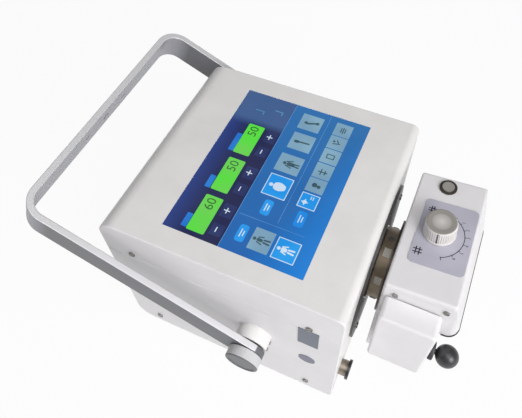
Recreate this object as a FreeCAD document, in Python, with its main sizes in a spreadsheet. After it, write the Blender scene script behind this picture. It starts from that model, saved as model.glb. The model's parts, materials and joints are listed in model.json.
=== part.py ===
"""Portable x-ray machine: a touch screen generator case that stands on four feet, a flat
bar carrying handle on two pivots, and a collimator that swivels on a ring about the beam.

Frame, in millimetres: +Z up, +X along the beam, +Y to the far side of the case, and the
origin on the ground below the middle of the case.
"""
import FreeCAD, Part
import math
import os
import re

SIZES = {
    # The case, a wrapped sheet closed by two side panels
    "case_length": 279,
    "case_width": 261,
    "case_height": 240,
    "case_wall": 2,
    "case_back_radius": 22,
    "case_front_radius": 9,
    "panel_wall": 2.5,
    "panel_edge_radius": 1.5,
    "seam_drop": 56,
    "seam_height": 1.2,
    "seam_depth": 0.8,
    "foot_height": 5,
    "foot_radius": 9,
    "foot_inset": 32,
    "foot_bolt_radius": 2.2,
    "post_width": 12,
    "post_depth": 8,
    # Screws
    "screw_inset": 35,
    "screw_low": 20,
    "screw_high": 47,
    "screw_head_radius": 3.7,
    "screw_head_height": 1.8,
    "screw_shank_radius": 2,
    "screw_length": 8,
    "screw_slot": 1,
    "hole_clearance": 0.1,
    # The touch screen
    "screen_width": 211.2,
    "screen_depth": 158.4,
    "screen_forward": 7,
    "screen_gap": 0.3,
    "glass_thickness": 1.6,
    "glass_recess": 0.4,
    "gasket_lap": 5,
    "gasket_thickness": 1.2,
    "display_thickness": 9,
    "board_thickness": 1.6,
    "board_margin": 10,
    "board_share": 0.62,
    "board_post_radius": 3.5,
    "chip_side": 18,
    "chip_height": 2.5,
    "ribbon_width": 6,
    "ribbon_length": 40,
    "chip_shift": 20,
    # The beam line and the tube tank
    "beam_height": 141,
    "beam_bore_radius": 27,
    "tank_length": 170,
    "tank_width": 124,
    "tank_height": 118,
    "tank_wall": 4,
    "tank_front_gap": 20,
    "nozzle_wall": 6,
    "nozzle_clearance": 3,
    "tube_radius": 20,
    "tube_length": 96,
    "tube_back": 55,
    "tube_stem": 6,
    "cradle_wall": 4,
    "cradle_width": 100,
    "cradle_inset": 22,
    "tray_wall": 3,
    "tray_margin": 24,
    # The round front flange and the swivel
    "flange_radius": 94,
    "flange_thickness": 3,
    "flange_screw_circle": 80,
    "ring_radius": 43,
    "ring_length": 13,
    "ring_flat": 1.2,
    "ring_flat_length": 8,
    "ring_flat_lip": 1.5,
    "ring_screw_length": 3,
    "ring_screw_depth": 2,
    "swivel_radius": 55,
    "swivel_length": 3,
    "spigot_radius": 34,
    "spigot_wall": 4,
    "bearing_clearance": 0.05,
    "body_gap": 0.3,
    # The collimator
    "collimator_width": 150,
    "collimator_length": 64.5,
    "collimator_bottom": 76,
    "collimator_split": 176,
    "collimator_top": 237,
    "collimator_wall": 2.5,
    "collimator_lap": 1.2,
    "panel_tilt": 5,
    "seam_gap": 0.4,
    "hood_length": 20,
    "hood_slope": 12.7,
    "lid_length": 71.5,
    "lid_corner_radius": 3.2,
    "hood_floor": 2.5,
    "hood_corner_radius": 13,
    "back_corner_radius": 3,
    "lid_height": 7,
    "lid_edge_radius": 2.6,
    "housing_front_radius": 10,
    "cover_screw_drop": 8,
    "cover_screw_inset": 12,
    "cover_screw_radius": 3,
    "window_width": 76,
    "window_height": 62,
    "window_thickness": 3,
    "window_lap": 1.5,
    "rail_width": 6,
    "rail_depth": 8,
    "rail_lip": 4,
    "rail_wall": 2,
    # The aperture knob, its plate and the lamp button
    "plate_length": 56,
    "plate_width": 81,
    "plate_thickness": 0.8,
    "plate_radius": 5.5,
    "plate_back": 13,
    "plate_side": 1.5,
    "knob_radius": 17.2,
    "knob_height": 20,
    "knob_skirt_radius": 18.8,
    "knob_skirt_height": 2.4,
    "knob_ribs": 30,
    "knob_rib_radius": 0.8,
    "knob_rib_gap": 2,
    "knob_dish": 1.6,
    "knob_dish_depth": 0.4,
    "pointer_width": 1.2,
    "pointer_depth": 1,
    "knob_back": 35.5,
    "knob_shaft_radius": 3,
    "knob_shaft_length": 38,
    "pinion_radius": 9,
    "pinion_height": 5,
    "button_back": 31,
    "button_inset": 13.5,
    "button_lip": 1.2,
    "button_lip_height": 1.4,
    "button_radius": 6.5,
    "button_height": 2.6,
    "button_travel": 1.8,
    "bezel_radius": 9.5,
    "bezel_height": 1.6,
    "lamp_switch_side": 11,
    # Shutters, mirror and lamp
    "leaf_thickness": 3,
    "leaf_depth": 34,
    "leaf_width": 72,
    "leaf_rest_gap": 8,
    "leaf_travel": 20,
    "leaf_forward": 26,
    "leaf_pitch": 6,
    "guide_wall": 2,
    "guide_bore": 50,
    "mirror_length": 30,
    "mirror_width": 44,
    "mirror_thickness": 1.5,
    "mirror_forward": 12.5,
    "mirror_cheek": 24,
    "lamp_radius": 7,
    "lamp_length": 16,
    "lamp_up": 52,
    # The lock knob at the front
    "lock_side": 88,
    "lock_height": 163,
    "side_box_back": 4.5,
    "side_box_setback": 1.5,
    "side_box_depth": 25,
    "side_box_bottom": 113,
    "side_box_top": 217,
    "side_box_corner": 5,
    "side_box_edge": 3,
    "lock_ball_radius": 12,
    "lock_nut_radius": 10,
    "lock_nut_length": 5,
    "lock_stem_radius": 3,
    "lock_stem_length": 18.5,
    "lock_collar": 2,
    # The handle and its pivots
    "pivot_forward": 41,
    "pivot_height": 121,
    "boss_length": 15.4,
    "handle_reach": 291.5,
    "handle_thickness": 7.8,
    "handle_bar_width": 39,
    "handle_corner_radius": 27,
    "handle_edge_radius": 1.2,
    "handle_angle": 25,
    "handle_bore_radius": 5,
    "handle_side_hole_radius": 3.2,
    "handle_hole_spacing": 37.5,
    "boss_radius": 19.5,
    "boss_foot_radius": 20.5,
    "boss_foot_height": 1,
    "grub_length": 4,
    "bolt_radius": 6,
    "bolt_head_radius": 10,
    "bolt_head_height": 5,
    "washer_radius": 17,
    "washer_thickness": 1.5,
    "clamp_radius": 19.5,
    "clamp_length": 13,
    "clamp_face": 2,
    "clamp_edge_radius": 1.5,
    "clamp_flutes": 30,
    "clamp_flute_radius": 0.6,
    # Sockets, switch and fan
    "inlet_side": 78,
    "inlet_height": 52,
    "inlet_width": 28,
    "inlet_tall": 22,
    "inlet_depth": 24,
    "inlet_flange": 10,
    "inlet_flange_wall": 2,
    "inlet_cavity": 17,
    "inlet_pin_length": 11,
    "inlet_pin": 2,
    "inlet_pin_pitch": 7,
    "inlet_rim": 2,
    "switch_side": 38,
    "switch_width": 22,
    "switch_tall": 30,
    "switch_depth": 18,
    "rocker_width": 13,
    "rocker_tall": 18,
    "rocker_depth": 8,
    "rocker_tilt": 7,
    "rocker_pin_radius": 1.5,
    "rocker_proud": 2,
    "fan_side": 62,
    "fan_height": 150,
    "fan_size": 60,
    "fan_depth": 22,
    "fan_bore_radius": 27.5,
    "fan_hub_radius": 11,
    "fan_blades": 7,
    "fan_pin_radius": 1.5,
    "fan_spoke": 3,
    "fan_blade_wall": 1.4,
    "fan_blade_angle": 30,
    "grille_slots": 7,
    "grille_pitch": 7.5,
    "grille_slot": 4,
    "socket_inset": 22.5,
    "socket_height": 60,
    "socket_radius": 9.5,
    "socket_length": 9,
    "socket_cap_radius": 12,
    "socket_cap_length": 3.5,
    "socket_lip": 2,
    "socket_nut_length": 4,
    # Blank plates on the near side
    "mark_plate_forward": 104,
    "mark_plate_drop": 73,
    "mark_plate_width": 23,
    "mark_plate_tall": 40,
    "mark_plate_wall": 0.5,
    "round_plate_drop": 139,
    "round_plate_radius": 10,
    # Boards and parts under the tank
    "inverter_length": 150,
    "inverter_width": 96,
    "inverter_lift": 6,
    "sink_length": 70,
    "sink_base": 4,
    "sink_height": 34,
    "sink_fins": 9,
    "sink_fin_wall": 1.8,
    "capacitor_radius": 15,
    "capacitor_height": 48,
    "capacitor_count": 3,
    "capacitor_pitch": 33,
    "supply_length": 42,
    "supply_width": 96,
    "supply_height": 82,
    "supply_back": 34,
    "transformer_length": 60,
    "transformer_width": 70,
    "transformer_height": 80,
    "transformer_gap": 6,
}

doc = FreeCAD.newDocument("portable_x_ray_machine")
sheet = doc.addObject("Spreadsheet::Sheet", "Sizes")
for row, (alias, size) in enumerate(SIZES.items(), start=1):
    sheet.set(f"A{row}", alias)
    sheet.set(f"B{row}", str(size))
    sheet.setAlias(f"B{row}", alias)
doc.recompute()

WORD = re.compile(r"[a-z_]+")
UP = FreeCAD.Vector(0, 0, 1)
AXES = {
    "x": FreeCAD.Vector(1, 0, 0),
    "y": FreeCAD.Vector(0, 1, 0),
    "z": UP,
    "-y": FreeCAD.Vector(0, -1, 0),
}
nodes = []


def cells(text):
    """The text as an expression: each alias in it becomes a reference to its cell."""
    return WORD.sub(lambda word: "Sizes." + word[0] if word[0] in SIZES else word[0], text)


def number(text):
    """The value of a sum of sizes, for a sketch's first guess and for counts."""
    plain = WORD.sub(lambda word: str(SIZES[word[0]]) if word[0] in SIZES else word[0], text)
    return FreeCAD.Units.Quantity(plain).Value


def place(made, at):
    """Bind an object's position to three expressions."""
    for letter, text in zip("xyz", at):
        made.setExpression("Placement.Base." + letter, cells(text))
    return made


def block(name, size, at, centred="y"):
    """A box. Along the centred axes its place is its middle, along the others its low side."""
    made = doc.addObject("Part::Box", name)
    corner = []
    for letter, side, length, start in zip("xyz", ("Length", "Width", "Height"), size, at):
        made.setExpression(side, cells(length))
        corner.append(f"{start} - ({length}) / 2" if letter in centred else start)
    return place(made, corner)


def rod(name, radius, length, at, along="z"):
    """A cylinder that starts at a point and runs along +X, +Y or +Z."""
    made = doc.addObject("Part::Cylinder", name)
    made.Placement.Rotation = FreeCAD.Rotation(UP, AXES[along])
    made.setExpression("Radius", cells(radius))
    made.setExpression("Height", cells(length))
    return place(made, at)


def ball(name, radius, at):
    """A sphere round a point."""
    made = doc.addObject("Part::Sphere", name)
    made.setExpression("Radius", cells(radius))
    return place(made, at)


def fuse(name, *pieces):
    """One solid from several that meet."""
    made = doc.addObject("Part::MultiFuse", name)
    made.Shapes = list(pieces)
    made.Refine = True
    return made


def cut(name, base, *tools):
    """The base with every tool taken out of it."""
    made = doc.addObject("Part::Cut", name)
    made.Base = base
    made.Tool = tools[0] if len(tools) == 1 else fuse(name + "_tools", *tools)
    made.Refine = True
    return made


def group(name, *pieces):
    """Separate solids kept together as one sub-part."""
    made = doc.addObject("Part::Compound", name)
    made.Links = list(pieces)
    return made


def turned(name, piece, at, along, angle):
    """A copy of a piece that is turned about an axis through its own origin, then placed."""
    made = doc.addObject("Part::Compound", name)
    made.Links = [piece]
    made.Placement.Rotation = FreeCAD.Rotation(AXES[along], 1)
    made.setExpression("Placement.Rotation.Angle", cells(angle))
    return place(made, at)


def node(label, made):
    """Name a finished sub-part."""
    made.Label = label
    nodes.append(made)
    return made


def new_sketch(name, plane):
    """A PartDesign body with an empty sketch on one of its own origin planes."""
    body = doc.addObject("PartDesign::Body", name)
    sketch = body.newObject("Sketcher::SketchObject", name + "_outline")
    face = next(item for item in body.Origin.OriginFeatures if item.Role == plane)
    sketch.AttachmentSupport = (face, "")
    sketch.MapMode = "FlatFace"
    return body, sketch


def hold(sketch, name, text, *rule):
    """Add a dimension to a sketch and bind it to an expression."""
    index = sketch.addConstraint(Sketcher.Constraint(*rule, number(text)))
    sketch.renameConstraint(index, name)
    sketch.setExpression("Constraints." + name, cells(text))


def pad(body, sketch, depth, backwards=False):
    """Pad a body's sketch by a length."""
    made = body.newObject("PartDesign::Pad", body.Name + "_pad")
    made.Profile = sketch
    made.Reversed = backwards
    made.setExpression("Length", cells(depth))
    sketch.Visibility = False
    doc.recompute()
    return made


def soften(body, radius, wanted):
    """Round the edges of a body's last feature whose middle point passes a test."""
    base = body.Tip
    names = []
    for index, edge in enumerate(base.Shape.Edges, start=1):
        middle = edge.valueAt((edge.FirstParameter + edge.LastParameter) / 2)
        if wanted(middle, edge):
            names.append(f"Edge{index}")
    made = body.newObject("PartDesign::Fillet", body.Name + "_soft")
    made.Base = (base, names)
    made.setExpression("Radius", cells(radius))
    doc.recompute()
    return made


def rounded_pad(name, plane, sides, radii, depth, at=("0", "0", "0")):
    """A plate with a rounded outline. Sides are its left, right, low and high edges from the
    body's origin, and radii its corners from low left, counter-clockwise."""
    left, right, low, high = (number(side) for side in sides)
    curve = [number(radius) for radius in radii]
    body, sketch = new_sketch(name, plane)
    corners = [(left, low, 1, 1), (right, low, -1, 1), (right, high, -1, -1), (left, high, 1, -1)]
    centres = [
        FreeCAD.Vector(x + sx * r, y + sy * r) for (x, y, sx, sy), r in zip(corners, curve)
    ]
    quarter = math.pi / 2
    for index in range(4):
        start, end = centres[index], centres[(index + 1) % 4]
        outward = [(0, -1), (1, 0), (0, 1), (-1, 0)][index]
        shift = [FreeCAD.Vector(*outward) * curve[i % 4] for i in (index, index + 1)]
        sketch.addGeometry(Part.LineSegment(start + shift[0], end + shift[1]))
    for index, (centre, radius) in enumerate(zip(centres, curve)):
        circle = Part.Circle(centre, UP, radius)
        first = quarter * (2 + index)
        sketch.addGeometry(Part.ArcOfCircle(circle, first, first + quarter))
    for index in range(4):
        sketch.addConstraint(Sketcher.Constraint("Tangent", 4 + index, 2, index, 1))
        sketch.addConstraint(Sketcher.Constraint("Tangent", index, 2, 4 + (index + 1) % 4, 1))
        level = "Horizontal" if index % 2 == 0 else "Vertical"
        sketch.addConstraint(Sketcher.Constraint(level, index))
        hold(sketch, f"corner{index}", radii[index], "Radius", 4 + index)
    hold(sketch, "low_side", sides[2], "DistanceY", -1, 1, 0, 1)
    hold(sketch, "right_side", sides[1], "DistanceX", -1, 1, 1, 1)
    hold(sketch, "high_side", sides[3], "DistanceY", -1, 1, 2, 1)
    hold(sketch, "left_side", sides[0], "DistanceX", -1, 1, 3, 1)
    pad(body, sketch, depth)
    return place(body, at)


def profile_pad(name, plane, points, depth, at=("0", "0", "0")):
    """A pad of a straight sided outline, whose corners are pairs of expressions."""
    body, sketch = new_sketch(name, plane)
    spots = [FreeCAD.Vector(number(x), number(y)) for x, y in points]
    count = len(points)
    for index in range(count):
        sketch.addGeometry(Part.LineSegment(spots[index], spots[(index + 1) % count]))
    for index, (x, y) in enumerate(points):
        rule = Sketcher.Constraint("Coincident", index, 2, (index + 1) % count, 1)
        sketch.addConstraint(rule)
        hold(sketch, f"across{index}", x, "DistanceX", -1, 1, index, 1)
        hold(sketch, f"up{index}", y, "DistanceY", -1, 1, index, 1)
    pad(body, sketch, depth)
    return place(body, at)


CASE_TOP = "(foot_height + case_height)"
CASE_FRONT = "(case_length / 2)"
CASE_SIDE = "(case_width / 2)"
PANEL_INSIDE = "(case_width / 2 - panel_wall)"
SOCKET_SIDE = "(socket_inset - case_width / 2)"
BOTH_SIDES = (("near", "-1"), ("far", "1"))


def case_outline(offset):
    """The case's outline from the side, drawn in by an offset."""
    sides = (
        f"-case_length / 2 + {offset}",
        f"case_length / 2 - {offset}",
        f"foot_height + {offset}",
        f"foot_height + case_height - {offset}",
    )
    back, front = f"case_back_radius - {offset}", f"case_front_radius - {offset}"
    return sides, (back, front, front, back)


def case_tube(name, offset, width):
    """A bar of the case's outline, level about the middle plane."""
    sides, radii = case_outline(offset)
    return rounded_pad(name, "XZ_Plane", sides, radii, width, ("0", f"({width}) / 2", "0"))


FLANGE_SPOTS = [
    (f"flange_screw_circle * cos({turn})", f"beam_height + flange_screw_circle * sin({turn})")
    for turn in range(30, 390, 60)
]

# The wrapped sheet: top, back, bottom and front in one, with its openings
wrap_width = "case_width - 2 * panel_wall"
openings = [
    case_tube("wrap_hollow", "case_wall", wrap_width),
    block(
        "screen_window",
        ("screen_depth", "screen_width", "4 * case_wall"),
        ("screen_forward", "0", CASE_TOP + " - 2 * case_wall"),
        "xy",
    ),
    rod(
        "front_port",
        "beam_bore_radius + nozzle_wall + nozzle_clearance",
        "4 * case_wall",
        (CASE_FRONT + " - 2 * case_wall", "0", "beam_height"),
        "x",
    ),
    rod(
        "socket_port",
        "socket_radius - socket_lip",
        "4 * case_wall",
        (CASE_FRONT + " - 2 * case_wall", SOCKET_SIDE, "socket_height"),
        "x",
    ),
    block(
        "inlet_port",
        ("4 * case_wall", "inlet_width", "inlet_tall"),
        ("-case_length / 2", "-inlet_side", "inlet_height"),
        "xyz",
    ),
    block(
        "switch_port",
        ("4 * case_wall", "switch_width", "switch_tall"),
        ("-case_length / 2", "-switch_side", "inlet_height"),
        "xyz",
    ),
]
FOOT_SPOTS = [
    (f"{end} * (case_length / 2 - foot_inset)", f"{side} * (case_width / 2 - foot_inset)")
    for end in ("-1", "1")
    for side in ("-1", "1")
]
for index, (x, y) in enumerate(FOOT_SPOTS):
    openings.append(rod(f"floor_bolt_hole_{index}", "foot_bolt_radius", "4 * case_wall", (x, y, "0")))
grille_count = int(SIZES["grille_slots"])
for index in range(grille_count):
    step = f"(fan_side + grille_pitch * ({index} - (grille_slots - 1) / 2))"
    slot = ("4 * case_wall", "grille_slot", "fan_bore_radius * 2 - grille_pitch")
    openings.append(
        block(f"grille_slot_{index}", slot, ("-case_length / 2", step, "fan_height"), "xyz")
    )
for index, (y, z) in enumerate(FLANGE_SPOTS):
    spot = (CASE_FRONT + " - 2 * case_wall", y, z)
    openings.append(rod(f"flange_tap_{index}", "screw_shank_radius", "4 * case_wall", spot, "x"))
node("case_wrap", cut("wrap", case_tube("wrap_outside", "0", wrap_width), *openings))

# Side panels, the posts behind their screws, and the screws
SCREW_SPOTS = [
    (f"{end} * (case_length / 2 - screw_inset)", rise)
    for end in ("-1", "1")
    for rise in ("(foot_height + screw_low)", "(foot_height + case_height - screw_high)")
]


def side_panel(side, sign):
    """A flat panel flush with the wrap's edge, with its outer edge rounded."""
    sides, radii = case_outline("0")
    lift = "-case_width / 2 + panel_wall" if sign == "-1" else "case_width / 2"
    plate = rounded_pad(f"panel_{side}", "XZ_Plane", sides, radii, "panel_wall", ("0", lift, "0"))
    face = 0 if sign == "1" else -SIZES["panel_wall"]
    soften(plate, "panel_edge_radius", lambda middle, edge: abs(middle.y - face) < 0.01)
    start = f"{sign} * case_width / 2 - 2 * panel_wall"
    holes = [
        rod(
            f"panel_{side}_hole_{index}",
            "screw_shank_radius + hole_clearance",
            "4 * panel_wall",
            (x, start, z),
            "y",
        )
        for index, (x, z) in enumerate(SCREW_SPOTS)
    ]
    bolt = ("pivot_forward", start, "pivot_height")
    holes.append(rod(f"panel_{side}_bolt_hole", "bolt_radius", "4 * panel_wall", bolt, "y"))
    seam = ("case_length * 2", "2 * seam_depth", "seam_height")
    holes.append(block(f"panel_{side}_seam", seam,
                       ("0", f"{sign} * case_width / 2", CASE_TOP + " - seam_drop"), "xyz"))
    return cut(f"side_panel_{side}_cut", plate, *holes)


def side_screw(name, sign, x, z):
    """A slotted pan head screw, its head outside the panel."""
    face = f"{sign} * case_width / 2"
    head_start = face if sign == "1" else face + " - screw_head_height"
    shank_start = face + " - screw_length" if sign == "1" else face
    head = rod(name + "_head", "screw_head_radius", "screw_head_height", (x, head_start, z), "y")
    shank = rod(name + "_shank", "screw_shank_radius", "screw_length", (x, shank_start, z), "y")
    slot = block(
        name + "_slot",
        ("2 * screw_head_radius", "screw_slot * 2", "screw_slot"),
        (x, f"{sign} * (case_width / 2 + screw_head_height)", z),
        "xyz",
    )
    return cut(name, fuse(name + "_blank", head, shank), slot)


screws, posts = [], []
for side, sign in BOTH_SIDES:
    node(f"side_panel_{side}", side_panel(side, sign))
    for index, (x, z) in enumerate(SCREW_SPOTS):
        screws.append(side_screw(f"side_screw_{side}_{index}", sign, x, z))
    for end in ("-1", "1"):
        name = f"corner_post_{side}_{'front' if end == '1' else 'back'}"
        across = f"{end} * (case_length / 2 - screw_inset)"
        inward = f"{sign} * ({PANEL_INSIDE} - post_depth / 2)"
        size = ("post_width", "post_depth", "case_height - 2 * case_wall")
        post = block(name + "_bar", size, (across, inward, "foot_height + case_wall"), "xy")
        taps = [
            rod(f"{name}_tap_{index}", "screw_shank_radius", "post_depth * 3",
                (across, inward + " - post_depth * 1.5", z), "y")
            for index, (x, z) in enumerate(SCREW_SPOTS[:2])
        ]
        posts.append(cut(name, post, *taps))
node("side_screws", group("side_screw_set", *screws))
node("corner_posts", group("corner_post_set", *posts))

# Rubber feet
feet, tray_holes = [], []
for index, (x, y) in enumerate(FOOT_SPOTS):
    foot = rod(f"foot_{index}_disc", "foot_radius", "foot_height", (x, y, "0"))
    bore = rod(f"foot_{index}_bore", "foot_bolt_radius", "foot_height", (x, y, "0"))
    feet.append(cut(f"foot_{index}", foot, bore))
    tray_holes.append(rod(f"tray_hole_{index}", "foot_bolt_radius", "4 * tray_wall",
                          (x, y, "foot_height")))
node("feet", group("foot_set", *feet))

# The touch screen: glass, gasket, display module, control board and its posts
GLASS_TOP = CASE_TOP + " - glass_recess"
GASKET_TOP = GLASS_TOP + " - glass_thickness"
DISPLAY_TOP = GASKET_TOP + " - gasket_thickness"
DISPLAY_LOW = DISPLAY_TOP + " - display_thickness"
BOARD_DROP = f"(({DISPLAY_LOW} - beam_height - tank_height / 2) * board_share)"
BOARD_TOP = f"{DISPLAY_LOW} - {BOARD_DROP}"
glass_size = (
    "screen_depth - 2 * screen_gap",
    "screen_width - 2 * screen_gap",
    "glass_thickness",
)
node("screen_glass", block("glass", glass_size, ("screen_forward", "0", GASKET_TOP), "xy"))
lap_size = (
    "screen_depth + 2 * gasket_lap",
    "screen_width + 2 * gasket_lap",
    "gasket_thickness",
)
gasket_hole = (
    "screen_depth - 2 * gasket_lap",
    "screen_width - 2 * gasket_lap",
    "4 * gasket_thickness",
)
screen_spot = ("screen_forward", "0", DISPLAY_TOP)
gasket_low = ("screen_forward", "0", DISPLAY_TOP + " - gasket_thickness")
gasket = cut(
    "gasket",
    block("gasket_blank", lap_size, screen_spot, "xy"),
    block("gasket_window", gasket_hole, gasket_low, "xy"),
)
node("screen_gasket", gasket)
display_size = lap_size[:2] + ("display_thickness",)
display_spot = ("screen_forward", "0", DISPLAY_TOP + " - display_thickness")
node("display_module", block("display", display_size, display_spot, "xy"))
board_length, board_width = "(screen_depth - board_margin)", "(screen_width - board_margin)"
board = block(
    "board",
    (board_length, board_width, "board_thickness"),
    ("screen_forward", "0", BOARD_TOP + " - board_thickness"),
    "xy",
)
chips = [
    block("processor", ("chip_side", "chip_side", "chip_height"),
          ("screen_forward", "-chip_shift", BOARD_TOP), "xy"),
    block("memory", ("chip_side / 2", "chip_side", "chip_height"),
          ("screen_forward + 1.4 * chip_shift", "-chip_shift", BOARD_TOP), "xy"),
    block("ribbon_socket", ("ribbon_width", "ribbon_length", "2 * chip_height"),
          ("screen_forward - 2.5 * chip_shift", "1.5 * chip_shift", BOARD_TOP), "xy"),
]
node("control_board", fuse("control_board_all", board, *chips))
board_posts = []
for index, (end, side) in enumerate((("-1", "-1"), ("-1", "1"), ("1", "-1"), ("1", "1"))):
    x = f"screen_forward + {end} * ({board_length} / 2 - board_margin / 2)"
    y = f"{side} * ({board_width} / 2 - board_margin / 2)"
    board_posts.append(
        rod(f"board_post_{index}", "board_post_radius", BOARD_DROP, (x, y, BOARD_TOP))
    )
node("board_posts", group("board_post_set", *board_posts))

# Chassis tray and the two cradles that carry the tube tank
FLOOR = "(foot_height + case_wall)"
TRAY_TOP = "(foot_height + case_wall + tray_wall)"
tray_size = ("case_length - 2 * tray_margin", "case_width - 2 * tray_margin", "tray_wall")
tray = block("tray", tray_size, ("0", "0", FLOOR), "xy")
node("chassis_tray", cut("tray_drilled", tray, *tray_holes))
TANK_FRONT = "(case_length / 2 - tank_front_gap)"
TANK_BACK = "(case_length / 2 - tank_front_gap - tank_length)"
TANK_LOW = "(beam_height - tank_height / 2)"
cradles = []
for name, x in (
    ("front", f"{TANK_FRONT} - cradle_inset"),
    ("back", f"{TANK_BACK} + cradle_inset"),
):
    size = ("cradle_wall", "cradle_width", f"{TANK_LOW} - {TRAY_TOP}")
    web = block(f"cradle_{name}_web", size, (x, "0", TRAY_TOP), "xy")
    foot = ("4 * cradle_wall", "cradle_width", "cradle_wall")
    low = block(f"cradle_{name}_foot", foot, (x, "0", TRAY_TOP), "xy")
    high = block(f"cradle_{name}_seat", foot, (x, "0", f"{TANK_LOW} - cradle_wall"), "xy")
    cradles.append(fuse(f"cradle_{name}", web, low, high))
node("tank_cradles", group("cradle_set", *cradles))

# The oil tank with the tube insert, its supports, the transformer and the beam nozzle
tank_size = ("tank_length", "tank_width", "tank_height")
tank_hollow = tuple(f"{side} - 2 * tank_wall" for side in tank_size)
tank = cut(
    "tank",
    block("tank_outside", tank_size, (TANK_BACK, "0", TANK_LOW)),
    block(
        "tank_hollow",
        tank_hollow,
        (f"{TANK_BACK} + tank_wall", "0", f"{TANK_LOW} + tank_wall"),
    ),
    rod(
        "tank_port",
        "beam_bore_radius",
        "3 * tank_wall",
        (f"{TANK_FRONT} - 2 * tank_wall", "0", "beam_height"),
        "x",
    ),
)
node("tube_tank", tank)
RING_BACK = "(case_length / 2 + flange_thickness)"
nozzle_length = "(tank_front_gap + flange_thickness)"
nozzle_spot = (TANK_FRONT, "0", "beam_height")
nozzle = cut(
    "nozzle",
    rod("nozzle_outside", "beam_bore_radius + nozzle_wall", nozzle_length, nozzle_spot, "x"),
    rod("nozzle_bore", "beam_bore_radius", nozzle_length, nozzle_spot, "x"),
)
node("beam_nozzle", nozzle)
tube_x = f"({TANK_FRONT} - tube_back)"
envelope = rod(
    "tube_envelope", "tube_radius", "tube_length", (tube_x, "-tube_length / 2", "beam_height"), "y"
)
stem = rod(
    "tube_stem_rod", "tube_radius / 2", "tube_length + 2 * tube_stem",
    (tube_x, "-tube_length / 2 - tube_stem", "beam_height"), "y",
)
node("x_ray_tube", fuse("tube", envelope, stem))
supports = []
for side, sign in BOTH_SIDES:
    size = ("2 * tube_radius", "cradle_wall", "tank_height - 2 * tank_wall")
    y = f"{sign} * (tube_length / 2 + cradle_wall)"
    plate = block(f"tube_support_{side}_plate", size, (tube_x, y, f"{TANK_LOW} + tank_wall"), "xy")
    seat = rod(f"tube_seat_{side}", "tube_radius / 2", "4 * cradle_wall",
               (tube_x, y + " - 2 * cradle_wall", "beam_height"), "y")
    supports.append(cut(f"tube_support_{side}", plate, seat))
node("tube_supports", group("tube_support_set", *supports))
transformer_x = f"{TANK_BACK} + tank_wall + transformer_length / 2 + transformer_gap"
core = block(
    "transformer_core",
    ("transformer_length", "transformer_width", "transformer_height"),
    (transformer_x, "0", f"{TANK_LOW} + tank_wall"),
    "xy",
)
window = block(
    "transformer_window",
    ("transformer_length * 2", "transformer_width / 3", "transformer_height / 2"),
    (transformer_x, "0", f"{TANK_LOW} + tank_wall + transformer_height / 4"),
    "xy",
)
coil = rod(
    "transformer_coil", "transformer_width / 7", "transformer_height",
    (transformer_x, "0", f"{TANK_LOW} + tank_wall"),
)
node("hv_transformer", fuse("transformer", cut("transformer_ring", core, window), coil))

# Inverter board, heat sink, capacitors and the mains supply under and behind the tank
inverter_x = f"({TANK_BACK} + tank_length / 2)"
INVERTER_TOP = f"({TRAY_TOP} + inverter_lift + board_thickness)"
inverter = block(
    "inverter",
    ("inverter_length - 4 * cradle_wall - 2 * cradle_inset", "inverter_width", "board_thickness"),
    (inverter_x, "0", f"{TRAY_TOP} + inverter_lift"),
    "xy",
)
inverter_feet = [
    rod(f"inverter_foot_{index}", "board_post_radius", "inverter_lift",
        (f"{inverter_x} + {x} * sink_length / 2", f"{y} * inverter_width / 2.4", TRAY_TOP))
    for index, (x, y) in enumerate(((-1, -1), (-1, 1), (1, -1), (1, 1)))
]
node("inverter_board", fuse("inverter_all", inverter, *inverter_feet))
sink_width = "(inverter_width / 2)"
sink_y = "inverter_width / 4"
fins = [block("sink_plate", ("sink_length", sink_width, "sink_base"),
              (inverter_x, sink_y, INVERTER_TOP), "xy")]
for index in range(int(SIZES["sink_fins"])):
    y = f"{sink_y} + ({sink_width} - sink_fin_wall) * ({index} / (sink_fins - 1) - 0.5)"
    fins.append(
        block(f"sink_fin_{index}", ("sink_length", "sink_fin_wall", "sink_height"),
              (inverter_x, y, INVERTER_TOP), "xy")
    )
node("heat_sink", fuse("sink", *fins))
cans = []
for index in range(int(SIZES["capacitor_count"])):
    x = f"{inverter_x} + capacitor_pitch * ({index} - (capacitor_count - 1) / 2)"
    cans.append(
        rod(f"capacitor_{index}", "capacitor_radius", "capacitor_height",
            (x, "-inverter_width / 4", INVERTER_TOP))
    )
node("capacitors", group("capacitor_set", *cans))
supply = block(
    "supply",
    ("supply_length", "supply_width", "supply_height"),
    ("-case_length / 2 + supply_back", "0", TRAY_TOP),
)
node("power_supply", supply)

# Fan behind the grille
FAN_BACK = "(-case_length / 2 + case_wall)"
fan_spot = (FAN_BACK, "fan_side", "fan_height")
fan_frame = cut(
    "fan_frame_ring",
    block("fan_frame_outside", ("fan_depth", "fan_size", "fan_size"), fan_spot, "yz"),
    rod("fan_frame_bore", "fan_bore_radius", "fan_depth", fan_spot, "x"),
)
fan_inner = (FAN_BACK + " + fan_depth - fan_spoke", "fan_side", "fan_height")
spoke_reach = "(fan_size + 2 * fan_bore_radius) / 2"
fan_pin_spot = (FAN_BACK + " + 2 * fan_spoke", "fan_side", "fan_height")
spokes = [
    block("fan_spoke_level", ("fan_spoke", spoke_reach, "fan_spoke"), fan_inner, "yz"),
    block("fan_spoke_upright", ("fan_spoke", "fan_spoke", spoke_reach), fan_inner, "yz"),
    rod("fan_motor", "fan_hub_radius", "fan_spoke", fan_inner, "x"),
    rod("fan_pin", "fan_pin_radius", "fan_depth - 3 * fan_spoke", fan_pin_spot, "x"),
]
node("fan_frame", fuse("fan_frame_all", fan_frame, *spokes))
hub_spot = (FAN_BACK + " + fan_spoke", "fan_side", "fan_height")
hub_length = "(fan_depth - 2.3 * fan_spoke)"
hub = rod("fan_hub", "fan_hub_radius", hub_length, hub_spot, "x")
blades = [hub]
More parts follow.
